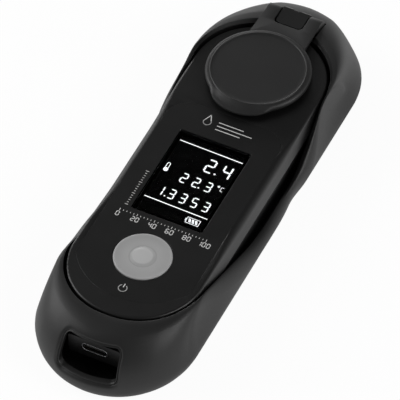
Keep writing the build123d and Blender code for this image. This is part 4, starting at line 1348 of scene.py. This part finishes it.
def number_bars(text, x, y, height, width, advance, bar, point=0.0):
    """Outlines of a number's bars; x, y is its lower left corner. A point takes no room of its own."""
    outlines = []
    half = bar / 2
    gap = bar * 0.12
    for letter in text:
        if letter == ".":
            outlines.append(arc(x - advance + width + point, y + half, bar * 0.62, 0, 330, 12))
            continue
        middle = y + height / 2
        ends = {
            "a": ((x, y + height), (x + width, y + height)),
            "b": ((x + width, middle), (x + width, y + height)),
            "c": ((x + width, y), (x + width, middle)),
            "d": ((x, y), (x + width, y)),
            "e": ((x, y), (x, middle)),
            "f": ((x, middle), (x, y + height)),
            "g": ((x, middle), (x + width, middle)),
        }
        for name in segments[letter]:
            (x0, y0), (x1, y1) = ends[name]
            if y0 == y1:
                outlines.append([
                    (x0 + gap, y0), (x0 + gap + half, y0 - half), (x1 - gap - half, y0 - half),
                    (x1 - gap, y0), (x1 - gap - half, y0 + half), (x0 + gap + half, y0 + half),
                ])
            else:
                outlines.append([
                    (x0, y0 + gap), (x0 + half, y0 + gap + half), (x0 + half, y1 - gap - half),
                    (x0, y1 - gap), (x0 - half, y1 - gap - half), (x0 - half, y0 + gap + half),
                ])
        x += advance
    return outlines


# %% The marks on the overlay
line_width = 0.3 * mm
drop_x, drop_y = -6.2 * mm, 17.2 * mm
drop_radius = 1.25 * mm
drop = [(drop_x, drop_y + 3.1 * mm)]
drop += arc(drop_x, drop_y, drop_radius, 32, -212, 26)
marks = stroke(drop, 0.28 * mm, True)
for k, length in enumerate((8.5, 12.0, 8.5)):
    level = drop_y + (1.3 - 1.5 * k) * mm
    marks += stroke([(drop_x + 3.6 * mm, level), (drop_x + (3.6 + length) * mm, level)], line_width)
power_y = -55.8 * mm
power_radius = 1.35 * mm
marks += stroke(arc(0, power_y, power_radius, 125, 415, 28), line_width)
marks += stroke([(0, power_y + 0.4 * mm), (0, power_y + 1.8 * mm)], line_width)
scale_x, scale_y = -15.0 * mm, -29.0 * mm
tick_pitch = 1.2 * mm
number_height, number_width, number_advance = 1.75 * mm, 0.95 * mm, 1.5 * mm
for k in range(6):
    text = str(20 * k)
    span = number_advance * (len(text) - 1) + number_width
    left = scale_x + 5 * k * tick_pitch - span / 2
    marks += number_bars(
        text, left, scale_y - mm, number_height, number_width, number_advance, 0.29 * mm
    )
marks_piece = new_piece("face_print", *flat_solid(marks, print_low, print_high), ink, 60.0)
add_on(marks_piece, "face_label")

# %% [markdown]
# ### A row of ticks with Geometry Nodes
#
# The ticks repeat, so a small node tree makes them: a line of points, a thin bar on each, and every fifth
# bar longer. The tree's inputs are the sizes that a draughtsman would name.


# %% Tick rows
def node_tree(name, inputs):
    """An empty geometry tree with named inputs and one geometry output."""
    tree = bpy.data.node_groups.new(name, "GeometryNodeTree")
    for label, kind in inputs:
        tree.interface.new_socket(label, in_out="INPUT", socket_type=kind)
    tree.interface.new_socket("Geometry", in_out="OUTPUT", socket_type="NodeSocketGeometry")
    return tree, tree.nodes.new("NodeGroupInput"), tree.nodes.new("NodeGroupOutput")


def tick_tree():
    """A row of upright bars along X: short ones, with every fifth one longer."""
    tree, given, out = node_tree("tick_row", [
        ("Count", "NodeSocketInt"),
        ("Pitch", "NodeSocketFloat"),
        ("Tick Size", "NodeSocketVector"),
        ("Long Factor", "NodeSocketFloat"),
        ("Ink", "NodeSocketMaterial"),
    ])
    add, link = tree.nodes.new, tree.links.new
    step = add("ShaderNodeCombineXYZ")
    link(given.outputs["Pitch"], step.inputs["X"])
    line = add("GeometryNodeMeshLine")
    link(given.outputs["Count"], line.inputs["Count"])
    link(step.outputs[0], line.inputs["Offset"])
    bar = add("GeometryNodeMeshCube")
    link(given.outputs["Tick Size"], bar.inputs["Size"])
    index = add("GeometryNodeInputIndex")
    rest = add("ShaderNodeMath")
    rest.operation = "MODULO"
    rest.inputs[1].default_value = 5
    link(index.outputs[0], rest.inputs[0])
    fifth = add("ShaderNodeMath")
    fifth.operation = "LESS_THAN"
    fifth.inputs[1].default_value = 0.5
    link(rest.outputs[0], fifth.inputs[0])
    longer = add("ShaderNodeMapRange")
    link(fifth.outputs[0], longer.inputs["Value"])
    longer.inputs["To Min"].default_value = 1.0
    link(given.outputs["Long Factor"], longer.inputs["To Max"])
    size = add("ShaderNodeCombineXYZ")
    size.inputs["X"].default_value = 1.0
    size.inputs["Z"].default_value = 1.0
    link(longer.outputs[0], size.inputs["Y"])
    place = add("GeometryNodeInstanceOnPoints")
    link(line.outputs[0], place.inputs["Points"])
    link(bar.outputs[0], place.inputs["Instance"])
    link(size.outputs[0], place.inputs["Scale"])
    real = add("GeometryNodeRealizeInstances")
    link(place.outputs[0], real.inputs[0])
    coat = add("GeometryNodeSetMaterial")
    link(real.outputs[0], coat.inputs["Geometry"])
    link(given.outputs["Ink"], coat.inputs["Material"])
    link(coat.outputs[0], out.inputs[0])
    return tree


def grown(name, tree, values, place):
    """A plain mesh made by a geometry tree, moved to its place in the mesh itself."""
    piece = bpy.data.objects.new(name, bpy.data.meshes.new(name))
    bpy.context.scene.collection.objects.link(piece)
    modifier = piece.modifiers.new(name, "NODES")
    modifier.node_group = tree
    for item in tree.interface.items_tree:
        if item.in_out == "INPUT" and item.name in values:
            modifier[item.identifier] = values[item.name]
    apply_modifiers(piece)
    piece.data.transform(place)
    return piece


tick_rows = tick_tree()
tick_level = face_height + 0.01 * mm
upright = Matrix.Rotation(math.pi / 2, 4, "Z")
for name, count, pitch, length, place in (
    ("tick_row", 26, tick_pitch, 0.5 * mm, Matrix.Translation((scale_x, scale_y + 1.7 * mm, tick_level))),
    ("side_tick_row", 16, mm, 0.6 * mm, Matrix.Translation((-14.1 * mm, -24.6 * mm, tick_level)) @ upright),
):
    size = (0.2 * mm, length, 0.014 * mm)
    values = {"Count": count, "Pitch": pitch, "Tick Size": size, "Long Factor": 1.8, "Ink": ink}
    add_on(grown(name, tick_rows, values, place), "face_label")

# %% [markdown]
# ## What the display shows
#
# The digits lie on the panel, under a clear window, so from the camera's side they seem shifted. The
# shift follows from the law of refraction and the window's index, and taking it out puts each number
# where it is seen.

# %% Digits on the panel
panel_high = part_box("display_panel")[1]
window_low, window_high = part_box("display_window")
slant = math.pi / 2 - view_elevation
glass_slant = math.asin(math.sin(slant) / coated_index)
seen_shift = (window_high.z - window_low.z) * math.tan(glass_slant)
seen_shift += (window_low.z - panel_high.z) * math.tan(slant)
shift_x = -seen_shift * math.sin(view_azimuth)
shift_y = seen_shift * math.cos(view_azimuth)
glow = Finish("display_glow")
shimmer = glow.noise(900.0, 2.0)
display_glow = glow.surface(
    Base_Color=grey(0.7),
    Roughness=0.5,
    Emission_Color=glow.mix(shimmer, (0.86, 0.88, 0.88, 1), (0.96, 0.98, 0.98, 1)),
    Emission_Strength=0.85,
)
# Text, then x, y, height, width, advance, bar and point distance in millimetres.
readings = [
    ("2.4", 1.6, -1.75, 5.2, 2.5, 5.75, 0.58, 1.3),
    ("22.3", -3.4, -9.0, 3.7, 1.8, 4.25, 0.46, 0.6),
    ("1.3353", -8.0, -16.7, 3.7, 1.8, 4.0, 0.46, 1.3),
    ("C", 9.9, -7.0, 1.6, 0.9, 1.0, 0.2, 0.0),
]
shown = []
for text, *sizes in readings:
    shown += number_bars(text, *(size * mm for size in sizes))
for from_x, from_y, to_x, to_y in ((-11.3, 6.55, 12.2, 6.5), (-11.8, -19.05, 12.0, -19.15)):
    shown += stroke([(from_x * mm, from_y * mm), (to_x * mm, to_y * mm)], 0.36 * mm)
shown += stroke(arc(8.9 * mm, -5.45 * mm, 0.3 * mm, 0, 330, 12), 0.18 * mm, True)
thermo_x, thermo_y = -9.4 * mm, -6.4 * mm
tube_top, tube_half = thermo_y + 2.4 * mm, 0.5 * mm
shown += [arc(thermo_x, thermo_y, 0.8 * mm, 0, 345, 20)]
shown += stroke(
    [(thermo_x - tube_half, thermo_y), (thermo_x - tube_half, tube_top)]
    + arc(thermo_x, tube_top, tube_half, 165, 15, 6)
    + [(thermo_x + tube_half, tube_top), (thermo_x + tube_half, thermo_y)],
    0.2 * mm,
)
battery_x, battery_y = 5.6 * mm, -23.15 * mm
battery_long, battery_tall = 4.4 * mm, 2.3 * mm
battery_end, battery_top = battery_x + battery_long, battery_y + battery_tall
battery_outline = [
    (battery_x, battery_y), (battery_end, battery_y), (battery_end, battery_top), (battery_x, battery_top)
]
shown += stroke(battery_outline, 0.2 * mm, True)
cap_x = battery_x - 0.3 * mm
shown += stroke([(cap_x, battery_y + 0.7 * mm), (cap_x, battery_top - 0.7 * mm)], 0.3 * mm)
low, high = battery_y + 0.4 * mm, battery_top - 0.4 * mm
for k in range(3):
    left = battery_x + (0.45 + 1.15 * k) * mm
    shown.append([(left, high), (left + 0.5 * mm, low), (left + 1.25 * mm, low), (left + 0.75 * mm, high)])
tilt = math.tan(math.radians(-0.9))
shown = [[(x + shift_x, y + x * tilt + shift_y) for x, y in outline] for outline in shown]
digits = new_piece(
    "display_digits",
    *flat_solid(shown, panel_high.z + 0.005 * mm, panel_high.z + 0.03 * mm),
    display_glow,
    60.0,
)
add_on(digits, "display_panel")
print("the display shows", len(shown), "bars; they are shifted by", round(seen_shift / mm, 2), "mm")

# %% [markdown]
# ## Contacts in the charging socket
#
# The socket's tongue carries a row of gilt contacts. They are small, but they make the difference between
# a slot and a socket when someone looks in. A node tree sets them in a row, above and below the tongue.


# %% Contacts
tongue_low, tongue_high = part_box("usb_tongue")
contact_count = 10
contact_pitch = (tongue_high.x - tongue_low.x - 0.8 * mm) / (contact_count - 1)
for side, level in (("upper", tongue_high.z), ("lower", tongue_low.z)):
    contacts = grown(
        f"{side}_contacts",
        tick_rows,
        {
            "Count": contact_count,
            "Pitch": contact_pitch,
            "Tick Size": (0.28 * mm, 3.2 * mm, 0.05 * mm),
            "Long Factor": 1.15,
            "Ink": contact_gold,
        },
        Matrix.Translation((tongue_low.x + 0.4 * mm, tongue_low.y + 2.1 * mm, level)),
    )
    add_on(contacts, "usb_tongue")

# %% [markdown]
# ## Floor, world and lamps
#
# The instrument lies on a white table in soft light. Black pieces are read by what they mirror: the pale
# floor brightens their sides, and a darker sky keeps the flat face deep. The floor is white to the camera
# and nearly so to reflections, and keeps a soft shadow. It lies a hair under the instrument, so that the
# two flat surfaces don't fight for the same place.

# %% Floor
mirrored_share = 0.6
white_share = 0.93
table = Finish("white_table")
paths = table.tree.nodes.new("ShaderNodeLightPath")
camera_ray = Value(table, paths.outputs["Is Camera Ray"])
glossy_ray = Value(table, paths.outputs["Is Glossy Ray"])
clear_ray = Value(table, paths.outputs["Is Transmission Ray"])
seen = camera_ray.join("MAXIMUM", clear_ray).join("MAXIMUM", glossy_ray * mirrored_share)
matt = table.node("ShaderNodeBsdfDiffuse", {}, {"Color": grey(0.86)})
bright = table.node("ShaderNodeEmission", {}, {"Color": grey(1.0), "Strength": 1.02})
mixed = table.node("ShaderNodeMixShader", {}, {0: seen * white_share, 1: matt, 2: bright})
table.tree.links.new(mixed.socket, table.output.inputs["Surface"])

floor_half = 3.0
floor_level = -0.05 * mm
floor = new_piece(
    "floor",
    [(x * floor_half, y * floor_half, floor_level) for x, y in ((-1, -1), (1, -1), (1, 1), (-1, 1))],
    [(0, 1, 2, 3)],
    table.material,
)

# %% World
world = bpy.data.worlds.new("studio")
bpy.context.scene.world = world
world.use_nodes = True
sky = world.node_tree
sky.nodes.clear()
direction = sky.nodes.new("ShaderNodeTexCoord")
split = sky.nodes.new("ShaderNodeSeparateXYZ")
sky.links.new(direction.outputs["Generated"], split.inputs[0])
fade = sky.nodes.new("ShaderNodeMapRange")
fade.interpolation_type = "SMOOTHSTEP"
for label, level in (("From Min", 0.0), ("From Max", 0.6), ("To Min", 0.55), ("To Max", 0.18)):
    fade.inputs[label].default_value = level
sky.links.new(split.outputs["Z"], fade.inputs["Value"])
glow_node = sky.nodes.new("ShaderNodeBackground")
sky.links.new(fade.outputs[0], glow_node.inputs["Strength"])
sky_out = sky.nodes.new("ShaderNodeOutputWorld")
sky.links.new(glow_node.outputs[0], sky_out.inputs["Surface"])


# %% Lamps
def softbox(name, place, size, power):
    """A soft square lamp that looks at the instrument."""
    lamp = bpy.data.lights.new(name, "AREA")
    lamp.shape = "RECTANGLE"
    lamp.size, lamp.size_y = size
    lamp.energy = power
    holder = bpy.data.objects.new(name, lamp)
    bpy.context.scene.collection.objects.link(holder)
    holder.location = place
    holder.rotation_mode = "QUATERNION"
    holder.rotation_quaternion = (Vector((0, 0, 0)) - Vector(place)).to_track_quat("-Z", "Y")


softbox("left_softbox", (-0.95, -0.15, 0.6), (0.6, 0.8), 6.5)
softbox("right_softbox", (0.95, -0.05, 0.65), (0.6, 0.8), 6.0)
softbox("far_softbox", (-0.75, 0.9, 0.24), (0.9, 0.36), 3.2)

bpy.context.scene.view_settings.view_transform = "Standard"
